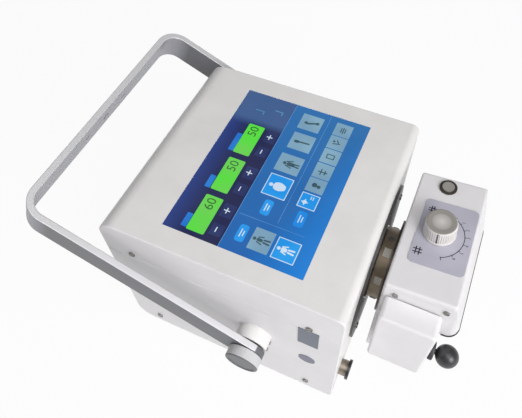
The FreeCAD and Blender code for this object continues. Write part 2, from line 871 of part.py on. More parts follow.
for index in range(int(SIZES["fan_blades"])):
    blade = doc.addObject("Part::Box", f"fan_blade_blank_{index}")
    blade.setExpression("Length", cells("fan_depth - 3.5 * fan_spoke"))
    blade.setExpression("Width", cells("fan_blade_wall"))
    blade.setExpression("Height", cells("fan_bore_radius - fan_pin_radius"))
    blade.Placement.Base.x = SIZES["fan_blade_wall"]
    blade.setExpression("Placement.Rotation.Angle", cells("fan_blade_angle"))
    blades.append(turned(f"fan_blade_{index}", blade, hub_spot, "x", f"360 * {index} / fan_blades"))
rotor_bore = rod(
    "fan_rotor_bore", "fan_pin_radius + bearing_clearance", "fan_depth",
    (FAN_BACK + " + 1.8 * fan_spoke", "fan_side", "fan_height"), "x",
)
node("fan_rotor", cut("fan_rotor_all", fuse("fan_wheel", *blades), rotor_bore))

# Mains inlet with three pins, and the rocker switch beside it
BACK = "(-case_length / 2)"
inlet_flange = block(
    "inlet_flange_plate",
    ("inlet_flange_wall", "inlet_width + 2 * inlet_flange", "inlet_tall + 2 * inlet_rim"),
    (BACK + " - inlet_flange_wall", "-inlet_side", "inlet_height"),
    "yz",
)
inlet_body = block(
    "inlet_body", ("inlet_depth", "inlet_width", "inlet_tall"),
    (BACK, "-inlet_side", "inlet_height"), "yz",
)
cavity = block(
    "inlet_cavity_cut",
    ("inlet_cavity + inlet_flange_wall", "inlet_width - 2 * inlet_rim", "inlet_tall - 2.5 * inlet_rim"),
    (BACK + " - inlet_flange_wall", "-inlet_side", "inlet_height"), "yz",
)
pins = [
    block(f"inlet_pin_{index}", ("inlet_pin_length", "inlet_pin", "2 * inlet_pin"),
          (BACK + " + inlet_cavity - inlet_pin_length",
           f"-inlet_side + {step} * inlet_pin_pitch",
           f"inlet_height + {rise} * inlet_pin"), "yz")
    for index, (step, rise) in enumerate(((-1, -1), (0, 1), (1, -1)))
]
inlet_shell = cut("inlet_shell", fuse("inlet_blank", inlet_flange, inlet_body), cavity)
node("power_inlet", fuse("inlet", inlet_shell, *pins))
switch_body = fuse(
    "switch_blank",
    block("switch_rim",
          ("inlet_flange_wall", "switch_width + 2 * inlet_rim", "switch_tall + 2 * inlet_rim"),
          (BACK + " - inlet_flange_wall", "-switch_side", "inlet_height"), "yz"),
    block("switch_body", ("switch_depth", "switch_width", "switch_tall"),
          (BACK, "-switch_side", "inlet_height"), "yz"),
)
switch_well = block(
    "switch_well", ("rocker_depth * 1.5 + inlet_flange_wall", "rocker_width + 2 * body_gap",
                    "rocker_tall + rocker_depth / 2"),
    (BACK + " - inlet_flange_wall", "-switch_side", "inlet_height"), "yz",
)
ROCKER_AXIS = (BACK + " + rocker_depth / 2", "-switch_side", "inlet_height")
rocker_pin = rod(
    "rocker_pin", "rocker_pin_radius", "switch_width - inlet_rim",
    (ROCKER_AXIS[0], "-switch_side - switch_width / 2 + inlet_rim / 2", "inlet_height"), "y",
)
node("switch_frame", fuse("switch", cut("switch_shell", switch_body, switch_well), rocker_pin))
rocker_blank = doc.addObject("Part::Box", "rocker_blank")
for side, text in (("Length", "rocker_depth"), ("Width", "rocker_width"), ("Height", "rocker_tall")):
    rocker_blank.setExpression(side, cells(text))
place(rocker_blank, ("-rocker_depth / 2 - rocker_proud", "-rocker_width / 2", "-rocker_tall / 2"))
rocker_bore = rod(
    "rocker_bore", "rocker_pin_radius + bearing_clearance", "2 * rocker_width",
    ("0", "-rocker_width", "0"), "y",
)
rocker = cut("rocker", rocker_blank, rocker_bore)
node("switch_rocker", turned("rocker_tilted", rocker, ROCKER_AXIS, "y", "rocker_tilt"))

# Hand switch socket low on the front, with its cap
socket_spot = (CASE_FRONT + " - case_wall - socket_nut_length", SOCKET_SIDE, "socket_height")
socket_front = f"({CASE_FRONT} + socket_length)"
barrel = fuse(
    "socket_barrel",
    rod("socket_barrel_outside", "socket_radius", "socket_length",
        (CASE_FRONT, SOCKET_SIDE, "socket_height"), "x"),
    rod("socket_thread", "socket_radius - socket_lip", "case_wall + socket_nut_length",
        socket_spot, "x"),
    rod("socket_back_nut", "socket_radius", "socket_nut_length", socket_spot, "x"),
)
node("hand_switch_socket", barrel)
cap = rod("cap_disc", "socket_cap_radius", "socket_cap_length",
          (socket_front, SOCKET_SIDE, "socket_height"), "x")
node("socket_cap", cap)

# Blank plates on the near side: one upright, one round
mark_y = "-case_width / 2 - mark_plate_wall"
marks = [
    block("upright_plate", ("mark_plate_width", "mark_plate_wall", "mark_plate_tall"),
          ("mark_plate_forward", mark_y, CASE_TOP + " - mark_plate_drop - mark_plate_tall / 2"), "x"),
    rod("round_mark_plate", "round_plate_radius", "mark_plate_wall",
        ("mark_plate_forward", mark_y, CASE_TOP + " - round_plate_drop"), "y"),
]
node("blank_plates", group("blank_plate_set", *marks))


def round_edges(name, base, radius, wanted):
    """Round the edges of any solid whose middle point passes a test."""
    doc.recompute()
    made = doc.addObject("Part::Fillet", name)
    made.Base = base
    size = number(radius)
    chosen = []
    for index, edge in enumerate(base.Shape.Edges, start=1):
        middle = edge.valueAt((edge.FirstParameter + edge.LastParameter) / 2)
        if wanted(middle, edge):
            chosen.append((index, size, size))
    made.Edges = chosen
    return made


def ring_of(count, make):
    """Copies of a piece at even angles, made one by one."""
    return [make(index, f"360 * {index} / {count}") for index in range(int(SIZES[count]))]


# The round front flange, its screws, and the fixed swivel ring with its spigot
flange_spot = (CASE_FRONT, "0", "beam_height")
flange_disc = rod("flange_disc", "flange_radius", "flange_thickness", flange_spot, "x")
flange_holes = [
    rod("flange_bore", "beam_bore_radius + nozzle_wall", "flange_thickness", flange_spot, "x")
]
flange_screws = []
for index, (y, z) in enumerate(FLANGE_SPOTS):
    name = f"flange_screw_{index}"
    flange_holes.append(
        rod(name + "_hole", "screw_shank_radius + hole_clearance", "flange_thickness",
            (CASE_FRONT, y, z), "x")
    )
    head = rod(name + "_head", "screw_head_radius", "screw_head_height", (RING_BACK, y, z), "x")
    shank = rod(name + "_shank", "screw_shank_radius", "screw_length",
                (RING_BACK + " - screw_length", y, z), "x")
    slot = block(name + "_slot", ("screw_slot * 2", "2 * screw_head_radius", "screw_slot"),
                 (RING_BACK + " + screw_head_height", y, z), "xyz")
    flange_screws.append(cut(name, fuse(name + "_blank", head, shank), slot))
node("front_flange", cut("flange", flange_disc, *flange_holes))
ring_spot = (RING_BACK, "0", "beam_height")
ring_blank = fuse(
    "ring_blank",
    rod("ring_outside", "ring_radius", "ring_length", ring_spot, "x"),
    rod("ring_spigot", "spigot_radius", "ring_length + swivel_length", ring_spot, "x"),
)
ring_cuts = [rod("ring_bore", "spigot_radius - spigot_wall", "3 * ring_length", ring_spot, "x")]
for index, turn in enumerate((13, 60, 193, 240)):
    flat = doc.addObject("Part::Box", f"ring_flat_blank_{index}")
    flat.setExpression("Length", cells("ring_flat_length"))
    flat.setExpression("Width", cells("ring_radius / 4"))
    flat.setExpression("Height", cells("2 * ring_flat"))
    flat_low = ("ring_length - ring_flat_lip - ring_flat_length", "-ring_radius / 8",
                "ring_radius - ring_flat")
    ring_cuts.append(turned(f"ring_flat_{index}", place(flat, flat_low), ring_spot, "x", f"{turn}"))
ring_screws = []
RING_MIDDLE = "ring_length - ring_flat_lip - ring_flat_length / 2"
ring_screw_spot = (RING_MIDDLE, "0", "ring_radius - ring_screw_depth")
ring_socket_spot = (RING_MIDDLE, "0", "ring_radius - ring_screw_depth + ring_screw_length / 2")
for index, turn in enumerate((112, 168, 292, 348)):
    name = f"ring_screw_{index}"
    blank = rod(name + "_blank", "screw_head_radius", "ring_screw_length", ring_screw_spot)
    socket = rod(name + "_socket", "screw_head_radius / 2", "ring_screw_length", ring_socket_spot)
    hole = rod(name + "_hole", "screw_head_radius + hole_clearance", "2 * ring_screw_length",
               ring_screw_spot)
    ring_cuts.append(turned(name + "_pocket", hole, ring_spot, "x", f"{turn}"))
    ring_screws.append(turned(name, cut(name + "_cut", blank, socket), ring_spot, "x", f"{turn}"))
node("swivel_ring", cut("ring", ring_blank, *ring_cuts))

# The swivel flange, which turns with the collimator
SWIVEL_BACK = "(case_length / 2 + flange_thickness + ring_length + body_gap)"
COLL_BACK = f"({SWIVEL_BACK} + swivel_length)"
COLL_FRONT = f"({COLL_BACK} + collimator_length)"
swivel_spot = (SWIVEL_BACK, "0", "beam_height")
swivel = cut(
    "swivel",
    rod("swivel_disc", "swivel_radius", "swivel_length", swivel_spot, "x"),
    rod("swivel_bore", "spigot_radius + bearing_clearance", "2 * swivel_length",
        (SWIVEL_BACK + " - 1", "0", "beam_height"), "x"),
)
node("swivel_flange", swivel)

# The collimator's lower housing
half_width = "(collimator_width / 2)"
housing_block = rounded_pad(
    "housing_outside",
    "XZ_Plane",
    (COLL_BACK, COLL_FRONT, "collimator_bottom", "collimator_split"),
    ("back_corner_radius", "housing_front_radius", "0.5", "0.5"),
    "collimator_width",
    ("0", half_width, "0"),
)
soften(
    housing_block,
    "collimator_lap",
    lambda middle, edge: abs(abs(middle.y + number(half_width)) - number(half_width)) < 0.01
    and middle.z < number("collimator_split") - 1,
)
inner_length = "(collimator_length - 2 * collimator_wall)"

# The side box on the near wall, which holds the lock's stem
BOX_FRONT = f"({COLL_FRONT} - side_box_setback)"
side_box = rounded_pad(
    "side_box",
    "XZ_Plane",
    (COLL_BACK + " + side_box_back", BOX_FRONT, "side_box_bottom", "side_box_top"),
    ("side_box_corner",) * 4,
    "side_box_depth",
    ("0", "-collimator_width / 2", "0"),
)
soften(side_box, "side_box_edge",
       lambda middle, edge: abs(middle.y + number("side_box_depth")) < 0.01)
box_length = "(collimator_length - side_box_back - side_box_setback)"
box_hollow = block(
    "side_box_hollow",
    (f"{box_length} - 2 * collimator_wall", "side_box_depth - 2 * collimator_wall",
     "side_box_top - side_box_bottom - 2 * collimator_wall"),
    (COLL_BACK + " + side_box_back + collimator_wall",
     "-(collimator_width + side_box_depth) / 2", "side_box_bottom + collimator_wall"),
)
housing = cut(
    "housing",
    fuse("housing_all", housing_block, side_box),
    box_hollow,
    block(
        "housing_hollow",
        (inner_length, "collimator_width - 2 * collimator_wall", "collimator_split"),
        (COLL_BACK + " + collimator_wall", "0", "collimator_bottom + collimator_wall"),
    ),
    rod("housing_bore", "spigot_radius - spigot_wall", "3 * collimator_wall",
        (COLL_BACK + " - collimator_wall", "0", "beam_height"), "x"),
    block("housing_window", ("4 * collimator_wall", "window_width", "window_height"),
          (COLL_FRONT, "0", "beam_height"), "xyz"),
    rod("housing_lock_hole", "lock_stem_radius + bearing_clearance", "4 * collimator_wall",
        (BOX_FRONT + " - 2 * collimator_wall", "-lock_side", "lock_height"), "x"),
)
node("collimator_housing", housing)
window_size = (
    "window_thickness", "window_width + 2 * window_lap", "window_height + 2 * window_lap"
)
window_spot = (COLL_FRONT + " - collimator_wall - window_thickness", "0", "beam_height")
node("beam_window", block("beam_window_plate", window_size, window_spot, "yz"))

# Rails for filters and cones on both sides of the window
rails = []
for side, sign in BOTH_SIDES:
    rise = "beam_height - window_height / 2 - rail_width"
    tall = "window_height + 1.3 * rail_width"
    y = f"{sign} * (window_width / 2 + rail_lip + rail_width / 2)"
    web = block(f"rail_{side}_web", ("rail_depth", "rail_width", tall), (COLL_FRONT, y, rise))
    lip_y = f"{sign} * (window_width / 2 + (rail_lip + rail_width) / 2)"
    lip = block(f"rail_{side}_lip", ("rail_wall", "rail_lip + rail_width", tall),
                (COLL_FRONT + " + rail_depth - rail_wall", lip_y, rise))
    rails.append(fuse(f"rail_{side}", web, lip))
node("accessory_rails", group("rail_set", *rails))

# The lock knob: a stem through the side box, a knurled nut and a ball
lock_ball = cut(
    "lock_ball_cut",
    ball("lock_ball", "lock_ball_radius",
         (BOX_FRONT + " + lock_stem_length", "-lock_side", "lock_height")),
    block("lock_ball_flat", ("lock_ball_radius", "3 * lock_ball_radius", "3 * lock_ball_radius"),
          (BOX_FRONT + " + lock_stem_length - 1.9 * lock_ball_radius", "-lock_side", "lock_height"),
          "yz"),
)
lock_spot = (BOX_FRONT + " - collimator_wall - body_gap - lock_collar", "-lock_side", "lock_height")
lock_nut = rod("lock_nut", "lock_nut_radius", "lock_nut_length",
               (BOX_FRONT + " + body_gap", "-lock_side", "lock_height"), "x")
lock_stem = rod("lock_stem", "lock_stem_radius",
                "lock_stem_length + collimator_wall + body_gap + lock_collar", lock_spot, "x")
lock_collar = rod("lock_collar_disc", "lock_stem_radius + lock_collar", "lock_collar", lock_spot, "x")
node("lock_knob", fuse("lock", lock_ball, lock_nut, lock_stem, lock_collar))

# The upper cover in two parts: a sleeve that overhangs the front, and the tilted lid
LID_SPOT = (COLL_BACK, "0", "collimator_top")
SLEEVE_LOW = "(collimator_split + seam_gap)"
sleeve_front = "(collimator_length + hood_length)"


def cover_plan(name, inset, depth, at, reach=sleeve_front, corner="hood_corner_radius"):
    """A pad of the cover's plan with its reach, drawn in by an inset."""
    sides = (
        inset,
        f"{reach} - {inset}",
        f"-collimator_width / 2 + collimator_lap + {inset}",
        f"collimator_width / 2 - collimator_lap - {inset}",
    )
    back = "back_corner_radius" if inset == "0" else "back_corner_radius - collimator_wall"
    front = f"{corner} - {inset}"
    return rounded_pad(name, "XY_Plane", sides, (back, front, front, back), depth, at)


def tilt(name, piece):
    """A piece made level with the lid's own frame, tilted with the lid."""
    return turned(name, piece, LID_SPOT, "-y", "panel_tilt")


sleeve_height = "collimator_top - collimator_split + hood_length"
sleeve_block = cover_plan("sleeve_outside", "0", sleeve_height, (COLL_BACK, "0", SLEEVE_LOW))
sleeve_top = block(
    "sleeve_top_blank", ("2 * collimator_length + 2 * hood_length", "2 * collimator_width", "60"),
    ("-hood_length", "0", "-lid_height - seam_gap"),
)
sleeve_hollow = cover_plan(
    "sleeve_hollow", "collimator_wall", sleeve_height,
    (COLL_BACK, "0", SLEEVE_LOW + " + hood_floor"),
)
sleeve_mouth = block(
    "sleeve_mouth", (inner_length, "collimator_width - 2 * collimator_lap - 2 * collimator_wall",
                     "4 * hood_floor"),
    (COLL_BACK + " + collimator_wall", "0", SLEEVE_LOW + " - hood_floor"),
)


def hood_slope(name, inset):
    """All that lies before the hood's leaning front, which starts below the lid's front edge."""
    ahead = block(name + "_blank", ("collimator_length", "2 * collimator_width",
                                    "3 * collimator_length"),
                  ("0", "0", "-1.5 * collimator_length"))
    leaning = turned(name + "_leaning", ahead, (f"lid_length - {inset}", "0", "-lid_height"),
                     "-y", "hood_slope - panel_tilt")
    return tilt(name, leaning)


sleeve_room = cut("sleeve_room", sleeve_hollow, hood_slope("hood_inside", "collimator_wall"))
sleeve_cuts = [tilt("sleeve_top", sleeve_top), hood_slope("hood_outside", "0"), sleeve_room,
               sleeve_mouth]
cover_screws = []
for side, sign in BOTH_SIDES:
    ends = (("back", "cover_screw_inset"), ("front", "lid_length - 0.75 * cover_screw_inset"))
    for end, u in ends:
        name = f"cover_screw_{side}_{end}"
        face = f"{sign} * (collimator_width / 2 - collimator_lap)"
        head_start = face if sign == "1" else face + " - screw_head_height"
        shank_start = face + " - screw_length" if sign == "1" else face
        v = "-lid_height - cover_screw_drop"
        head = rod(name + "_head", "cover_screw_radius", "screw_head_height", (u, head_start, v), "y")
        shank = rod(name + "_shank", "screw_shank_radius", "screw_length", (u, shank_start, v), "y")
        slot = block(name + "_slot", ("2 * screw_head_radius", "2 * screw_slot", "screw_slot"),
                     (u, f"{face} + {sign} * screw_head_height", v), "xyz")
        hole = rod(name + "_hole", "screw_shank_radius + hole_clearance", "2 * screw_length",
                   (u, face + " - screw_length", v), "y")
        sleeve_cuts.append(tilt(name + "_tap", hole))
        cover_screws.append(tilt(name, cut(name + "_cut", fuse(name + "_blank", head, shank), slot)))
node("collimator_sleeve", cut("sleeve", sleeve_block, *sleeve_cuts))
node("cover_screws", group("cover_screw_set", *cover_screws))

lid_reach = ("lid_length", "lid_corner_radius")
lid_block = cover_plan("lid_outside", "0", "lid_height", ("0", "0", "-lid_height"), *lid_reach)
soften(
    lid_block,
    "lid_edge_radius",
    lambda middle, edge: abs(middle.z - number("lid_height")) < 0.01 and middle.x > 4,
)
BUTTON_SIDE = "(collimator_width / 2 - collimator_lap - button_inset)"
lid_spots = {
    "knob": ("knob_back", "plate_side", "-2 * lid_height"),
    "button": ("button_back", BUTTON_SIDE, "-2 * lid_height"),
}
lid_flat = cut(
    "lid_flat",
    lid_block,
    cover_plan("lid_hollow", "collimator_wall", "lid_height",
               ("0", "0", "-lid_height - collimator_wall"), *lid_reach),
    rod("lid_knob_hole", "knob_shaft_radius + bearing_clearance", "4 * lid_height", lid_spots["knob"]),
    rod("lid_button_hole", "button_radius + body_gap", "4 * lid_height", lid_spots["button"]),
)
node("collimator_lid", tilt("lid", lid_flat))

# The scale plate on the lid, with a hole for the knob's shaft
plate_sides = (
    "plate_back",
    "plate_back + plate_length",
    "plate_side - 2.5 - plate_width / 2",
    "plate_side - 2.5 + plate_width / 2",
)
plate_flat = cut(
    "scale_plate_flat",
    rounded_pad("scale_plate_pad", "XY_Plane", plate_sides, ("plate_radius",) * 4, "plate_thickness"),
    rod("scale_plate_hole", "knob_shaft_radius + 0.5", "4 * plate_thickness",
        ("knob_back", "plate_side", "-plate_thickness")),
)
node("scale_plate", tilt("scale_plate_tilted", plate_flat))

# The aperture knob: ribbed grip on a skirt with a groove for a pointer
KNOB_LOW = "(plate_thickness + body_gap)"
knob_spot = ("knob_back", "plate_side", KNOB_LOW)
grip = rod("knob_grip", "knob_radius", "knob_height", knob_spot)
skirt = doc.addObject("Part::Cone", "knob_skirt")
skirt.setExpression("Radius1", cells("knob_skirt_radius"))
skirt.setExpression("Radius2", cells("knob_skirt_radius - knob_skirt_height / 4"))
skirt.setExpression("Height", cells("knob_skirt_height"))
place(skirt, knob_spot)


def knob_rib(index, turn):
    """One upright rib of the knob's grip."""
    x = f"knob_back + knob_radius * cos({turn})"
    y = f"plate_side + knob_radius * sin({turn})"
    return rod(f"knob_rib_{index}", "knob_rib_radius", "knob_height - knob_rib_gap", (x, y, KNOB_LOW))


pointer = block(
    "knob_pointer", ("pointer_width", "knob_skirt_radius", "2 * pointer_depth"),
    ("knob_back", "plate_side - knob_radius - knob_skirt_radius",
     f"{KNOB_LOW} + knob_skirt_height - pointer_depth"),
    "x",
)
knob_blank = fuse("knob_blank", grip, skirt, *ring_of("knob_ribs", knob_rib))
knob_bore = rod("knob_bore", "knob_shaft_radius", "knob_height / 2", knob_spot)
knob_dish = rod("knob_dish_cut", "knob_radius - knob_dish", "2 * knob_dish_depth",
                ("knob_back", "plate_side", f"{KNOB_LOW} + knob_height - knob_dish_depth"))
knob = cut("knob", knob_blank, knob_bore, pointer, knob_dish)
node("aperture_knob", tilt("aperture_knob_tilted", knob))
shaft_low = ("knob_back", "plate_side", "-knob_shaft_length")
shaft = rod("knob_shaft_rod", "knob_shaft_radius",
            f"knob_shaft_length + {KNOB_LOW} + knob_height / 2", shaft_low)


def pinion_tooth(index, turn):
    """One tooth of the pinion at the foot of the knob's shaft."""
    x = f"knob_back + pinion_radius * cos({turn})"
    y = f"plate_side + pinion_radius * sin({turn})"
    return rod(f"pinion_tooth_{index}", "knob_rib_radius", "pinion_height", (x, y, shaft_low[2]))


pinion = rod("pinion_disc", "pinion_radius", "pinion_height", shaft_low)
shaft_all = fuse("knob_shaft_all", shaft, pinion, *ring_of("knob_ribs", pinion_tooth))
node("knob_shaft", tilt("knob_shaft_tilted", shaft_all))

# The lamp button in its bezel, and the switch under it
button_spot = ("button_back", BUTTON_SIDE, "0")
bezel = cut(
    "bezel",
    rod("bezel_outside", "bezel_radius", "bezel_height", button_spot),
    rod("bezel_bore", "button_radius + body_gap", "bezel_height", button_spot),
)
node("lamp_button_bezel", tilt("bezel_tilted", bezel))
button_low = "-collimator_wall - body_gap - button_lip_height"
button = fuse(
    "button",
    rod("button_stem", "button_radius", f"button_height - ({button_low})",
        ("button_back", BUTTON_SIDE, button_low)),
    rod("button_lip", "button_radius + button_lip", "button_lip_height",
        ("button_back", BUTTON_SIDE, button_low)),
)
node("lamp_button", tilt("button_tilted", button))
switch_low = f"{button_low} - button_travel - body_gap - lamp_switch_side"
switch_reach = "(button_inset - collimator_wall)"
lamp_switch = block(
    "lamp_switch_block",
    ("lamp_switch_side", f"{switch_reach} + lamp_switch_side / 2", "lamp_switch_side"),
    ("button_back - lamp_switch_side / 2", f"{BUTTON_SIDE} - lamp_switch_side / 2", switch_low),
    "",
)
node("lamp_switch", tilt("lamp_switch_tilted", lamp_switch))

# Shutters: four lead leaves in two crossed pairs, and the frame that guides them
NEAR_LEAF_X = f"({COLL_BACK} + leaf_forward)"
FAR_LEAF_X = f"({COLL_BACK} + leaf_forward + leaf_pitch)"
GUIDE_X = f"({COLL_BACK} + leaf_forward + 2 * leaf_pitch)"
for label, sign in (("side_leaf_near", "-1"), ("side_leaf_far", "1")):
    y = f"{sign} * (leaf_rest_gap / 2 + leaf_depth / 2)"
    size = ("leaf_thickness", "leaf_depth", "leaf_width")
    node(label, block(label + "_plate", size, (NEAR_LEAF_X, y, "beam_height"), "yz"))
for label, sign in (("lower_leaf", "-1"), ("upper_leaf", "1")):
    z = f"beam_height + {sign} * (leaf_rest_gap / 2 + leaf_depth / 2)"
    size = ("leaf_thickness", "leaf_width", "leaf_depth")
    node(label, block(label + "_plate", size, (FAR_LEAF_X, "0", z), "yz"))
guide_low = "(collimator_bottom + collimator_wall)"
guide_top = "(beam_height + leaf_width / 2 + body_gap + guide_wall)"
guide_width = "(leaf_width + 2 * leaf_travel + 4 * guide_wall)"
guide_plate = cut(
    "guide_plate",
    block("guide_blank", ("guide_wall", guide_width, f"{guide_top} - {guide_low}"),
          (GUIDE_X, "0", guide_low)),
    block("guide_hole", ("4 * guide_wall", "guide_bore", "guide_bore"),
          (GUIDE_X, "0", "beam_height"), "xyz"),
)
guides = [guide_plate]
for side, sign in BOTH_SIDES:
    y = f"{sign} * (leaf_width / 2 + body_gap + guide_wall / 2)"
    guides.append(
        block(f"upright_rail_{side}", ("leaf_pitch", "guide_wall", f"{guide_top} - {guide_low}"),
              (FAR_LEAF_X, y, guide_low))
    )
    z = f"beam_height + {sign} * (leaf_width / 2 + body_gap + guide_wall / 2)"
    guides.append(
        block(f"level_rail_{side}", ("leaf_thickness", guide_width, "guide_wall"),
              (NEAR_LEAF_X, "0", z), "yz")
    )
    for end in ("-1", "1"):
        y = f"{end} * ({guide_width} - guide_wall) / 2"
        name = f"rail_post_{side}_{'near' if end == '-1' else 'far'}"
        guides.append(block(name, ("2 * leaf_pitch", "guide_wall", "guide_wall"),
                            (NEAR_LEAF_X, y, z), "yz"))
node("leaf_guide", fuse("leaf_guide_all", *guides))

# The mirror across the beam, its two cheeks, and the lamp above it
mirror_blank = doc.addObject("Part::Box", "mirror_blank")
for side, text in (("Length", "mirror_length"), ("Width", "mirror_width"), ("Height", "mirror_thickness")):
    mirror_blank.setExpression(side, cells(text))
place(mirror_blank, ("-mirror_length / 2", "-mirror_width / 2", "-mirror_thickness / 2"))
MIRROR_X = f"({COLL_BACK} + mirror_forward)"
mirror = turned("mirror_tilted", mirror_blank, (MIRROR_X, "0", "beam_height"), "-y", "45")
cheeks = []
for side, sign in BOTH_SIDES:
    y = f"{sign} * (mirror_width / 2 + guide_wall / 2)"
    size = ("2 * mirror_forward - 2 * collimator_wall", "guide_wall", "2 * mirror_cheek")
    spot = (COLL_BACK + " + collimator_wall", y, "beam_height")
    cheeks.append(block(f"mirror_cheek_{side}", size, spot, "yz"))
node("mirror", fuse("mirror_all", mirror, *cheeks))
LAMP_LOW = "(beam_height + lamp_up)"
lamp = fuse(
    "lamp_all",
    rod("lamp_can", "lamp_radius", "lamp_length", (MIRROR_X, "0", LAMP_LOW)),
    ball("lamp_lens", "lamp_radius * 0.8", (MIRROR_X, "0", LAMP_LOW)),
    block("lamp_bracket",
          ("mirror_forward + lamp_radius - collimator_wall", "3 * lamp_radius", "guide_wall"),
          (COLL_BACK + " + collimator_wall", "0", f"{LAMP_LOW} + lamp_length")),
)
node("lamp", lamp)

# The handle: a flat bar bent to a U, made level and then turned up about its pivots
PIVOT = ("pivot_forward", "0", "pivot_height")
HALF_HANDLE = "(case_width / 2 + boss_length + washer_thickness + body_gap + handle_thickness)"


def bail_plan(name, inset, depth):
    """A pad of the bail's outline, drawn in by an inset."""
    sides = (
        f"-handle_reach + {inset}",
        f"handle_reach - {inset}",
        f"-{HALF_HANDLE} + {inset}",
        f"{HALF_HANDLE} - {inset}",
    )
    return rounded_pad(name, "XY_Plane", sides, (f"handle_corner_radius - {inset}",) * 4, depth,
                       ("0", "0", f"-({depth}) / 2"))


bail_ring = cut(
    "bail_ring",
    bail_plan("bail_outside", "0", "handle_bar_width"),
    bail_plan("bail_inside", "handle_thickness", "2 * handle_bar_width"),
    block("bail_front", ("2 * handle_reach", f"4 * {HALF_HANDLE}", "2 * handle_bar_width"),
          ("0", "0", "0"), "yz"),
)
eyes = [
    rod(f"bail_eye_{side}", "handle_bar_width / 2", "handle_thickness",
        ("0", f"-{HALF_HANDLE}" if sign == "-1" else f"{HALF_HANDLE} - handle_thickness", "0"), "y")
    for side, sign in BOTH_SIDES
]
bail_blank = fuse("bail_blank", bail_ring, *eyes)
bail_soft = round_edges(
    "bail_soft", bail_blank, "handle_edge_radius",
    lambda middle, edge: edge.Length > number("handle_bar_width") + 1
    or edge.Curve.TypeId == "Part::GeomCircle",
)
bail_holes = [
    rod("bail_bolt_holes", "bolt_radius + bearing_clearance", f"4 * {HALF_HANDLE}",
        ("0", f"-2 * {HALF_HANDLE}", "0"), "y"),
    rod("bail_centre_hole", "handle_bore_radius", "4 * handle_thickness",
        ("-handle_reach - handle_thickness", "0", "0"), "x"),
]
for side, sign in BOTH_SIDES:
    bail_holes.append(
        rod(f"bail_side_hole_{side}", "handle_side_hole_radius", "4 * handle_thickness",
            ("-handle_reach - handle_thickness", f"{sign} * handle_hole_spacing", "0"), "x")
    )
bail = cut("bail", bail_soft, *bail_holes)
node("handle_bail", turned("bail_up", bail, PIVOT, "y", "handle_angle"))

# Pivot hardware on both sides: boss, bolt, washer and clamp knob
ARM_INSIDE = f"({HALF_HANDLE} - handle_thickness)"
WASHER_INSIDE = f"({ARM_INSIDE} - body_gap - washer_thickness)"
CLAMP_INSIDE = f"({HALF_HANDLE} + body_gap)"


def pivot_rod(name, sign, radius, start, length):
    """A cylinder on the pivot's axis, measured outwards from the middle of the machine."""
    y = start if sign == "1" else f"-({start}) - ({length})"
    return rod(name, radius, length, ("pivot_forward", y, "pivot_height"), "y")


GRUB_X = "(pivot_forward + boss_radius - grub_length + 0.8)"
bosses, bolts, washers, grubs = [], [], [], []
for side, sign in BOTH_SIDES:
    boss = fuse(
        f"boss_{side}_blank",
        pivot_rod(f"boss_{side}_outside", sign, "boss_radius", CASE_SIDE, "boss_length"),
        pivot_rod(f"boss_{side}_foot", sign, "boss_foot_radius", CASE_SIDE, "boss_foot_height"),
    )
    boss_cuts = [pivot_rod(f"boss_{side}_bore", sign, "bolt_radius", CASE_SIDE, "boss_length")]
    for index, share in enumerate(("0.25", "0.75")):
        spot = (GRUB_X, f"{sign} * ({CASE_SIDE} + boss_length * {share})",
                "pivot_height - boss_radius / 5")
        grubs.append(rod(f"grub_{side}_{index}", "screw_shank_radius", "grub_length", spot, "x"))
        boss_cuts.append(rod(f"grub_{side}_{index}_hole", "screw_shank_radius + hole_clearance",
                             "2 * grub_length", spot, "x"))
    bosses.append(cut(f"boss_{side}", boss, *boss_cuts))
    bolt_start = f"({PANEL_INSIDE} - bolt_head_height)"
    bolt_end = f"({CLAMP_INSIDE} + clamp_length - 3 * clamp_face)"
    bolts.append(fuse(
        f"bolt_{side}",
        pivot_rod(f"bolt_{side}_head", sign, "bolt_head_radius", bolt_start, "bolt_head_height"),
        pivot_rod(f"bolt_{side}_shank", sign, "bolt_radius", bolt_start, f"{bolt_end} - {bolt_start}"),
    ))
    washers.append(cut(
        f"washer_{side}",
        pivot_rod(f"washer_{side}_disc", sign, "washer_radius", WASHER_INSIDE, "washer_thickness"),
        pivot_rod(f"washer_{side}_bore", sign, "bolt_radius", WASHER_INSIDE, "washer_thickness"),
    ))
node("pivot_bosses", group("boss_set", *bosses))
node("pivot_bolts", group("bolt_set", *bolts))
node("friction_washers", group("washer_set", *washers))
node("small_screws", group("small_screw_set", *flange_screws, *ring_screws, *grubs))


def clamp_knob(side, sign):
    """A fluted clamp knob with a blind bore on the pivot bolt."""
    blank = pivot_rod(f"clamp_{side}_blank", sign, "clamp_radius", CLAMP_INSIDE, "clamp_length")
    soft = round_edges(f"clamp_{side}_soft", blank, "clamp_edge_radius",
                       lambda middle, edge: edge.Curve.TypeId == "Part::GeomCircle")
    tools = [
        pivot_rod(f"clamp_{side}_bore", sign, "bolt_radius + bearing_clearance",
                  f"({CLAMP_INSIDE} - 1)", "clamp_length - 2 * clamp_face + 1"),
        pivot_rod(f"clamp_{side}_dish", sign, "clamp_radius - 2 * clamp_face",
                  f"({CLAMP_INSIDE} + clamp_length - 0.6)", "2"),
    ]

    def flute(index, turn):
        x = f"pivot_forward + (clamp_radius + clamp_flute_radius / 2) * cos({turn})"
        z = f"pivot_height + (clamp_radius + clamp_flute_radius / 2) * sin({turn})"
        y = CLAMP_INSIDE if sign == "1" else f"-{CLAMP_INSIDE} - clamp_length"
        return rod(f"clamp_{side}_flute_{index}", "clamp_flute_radius", "clamp_length", (x, y, z), "y")

    return cut(f"clamp_{side}", soft, *tools, *ring_of("clamp_flutes", flute))


for side, sign in BOTH_SIDES:
    node(f"clamp_knob_{side}", clamp_knob(side, sign))

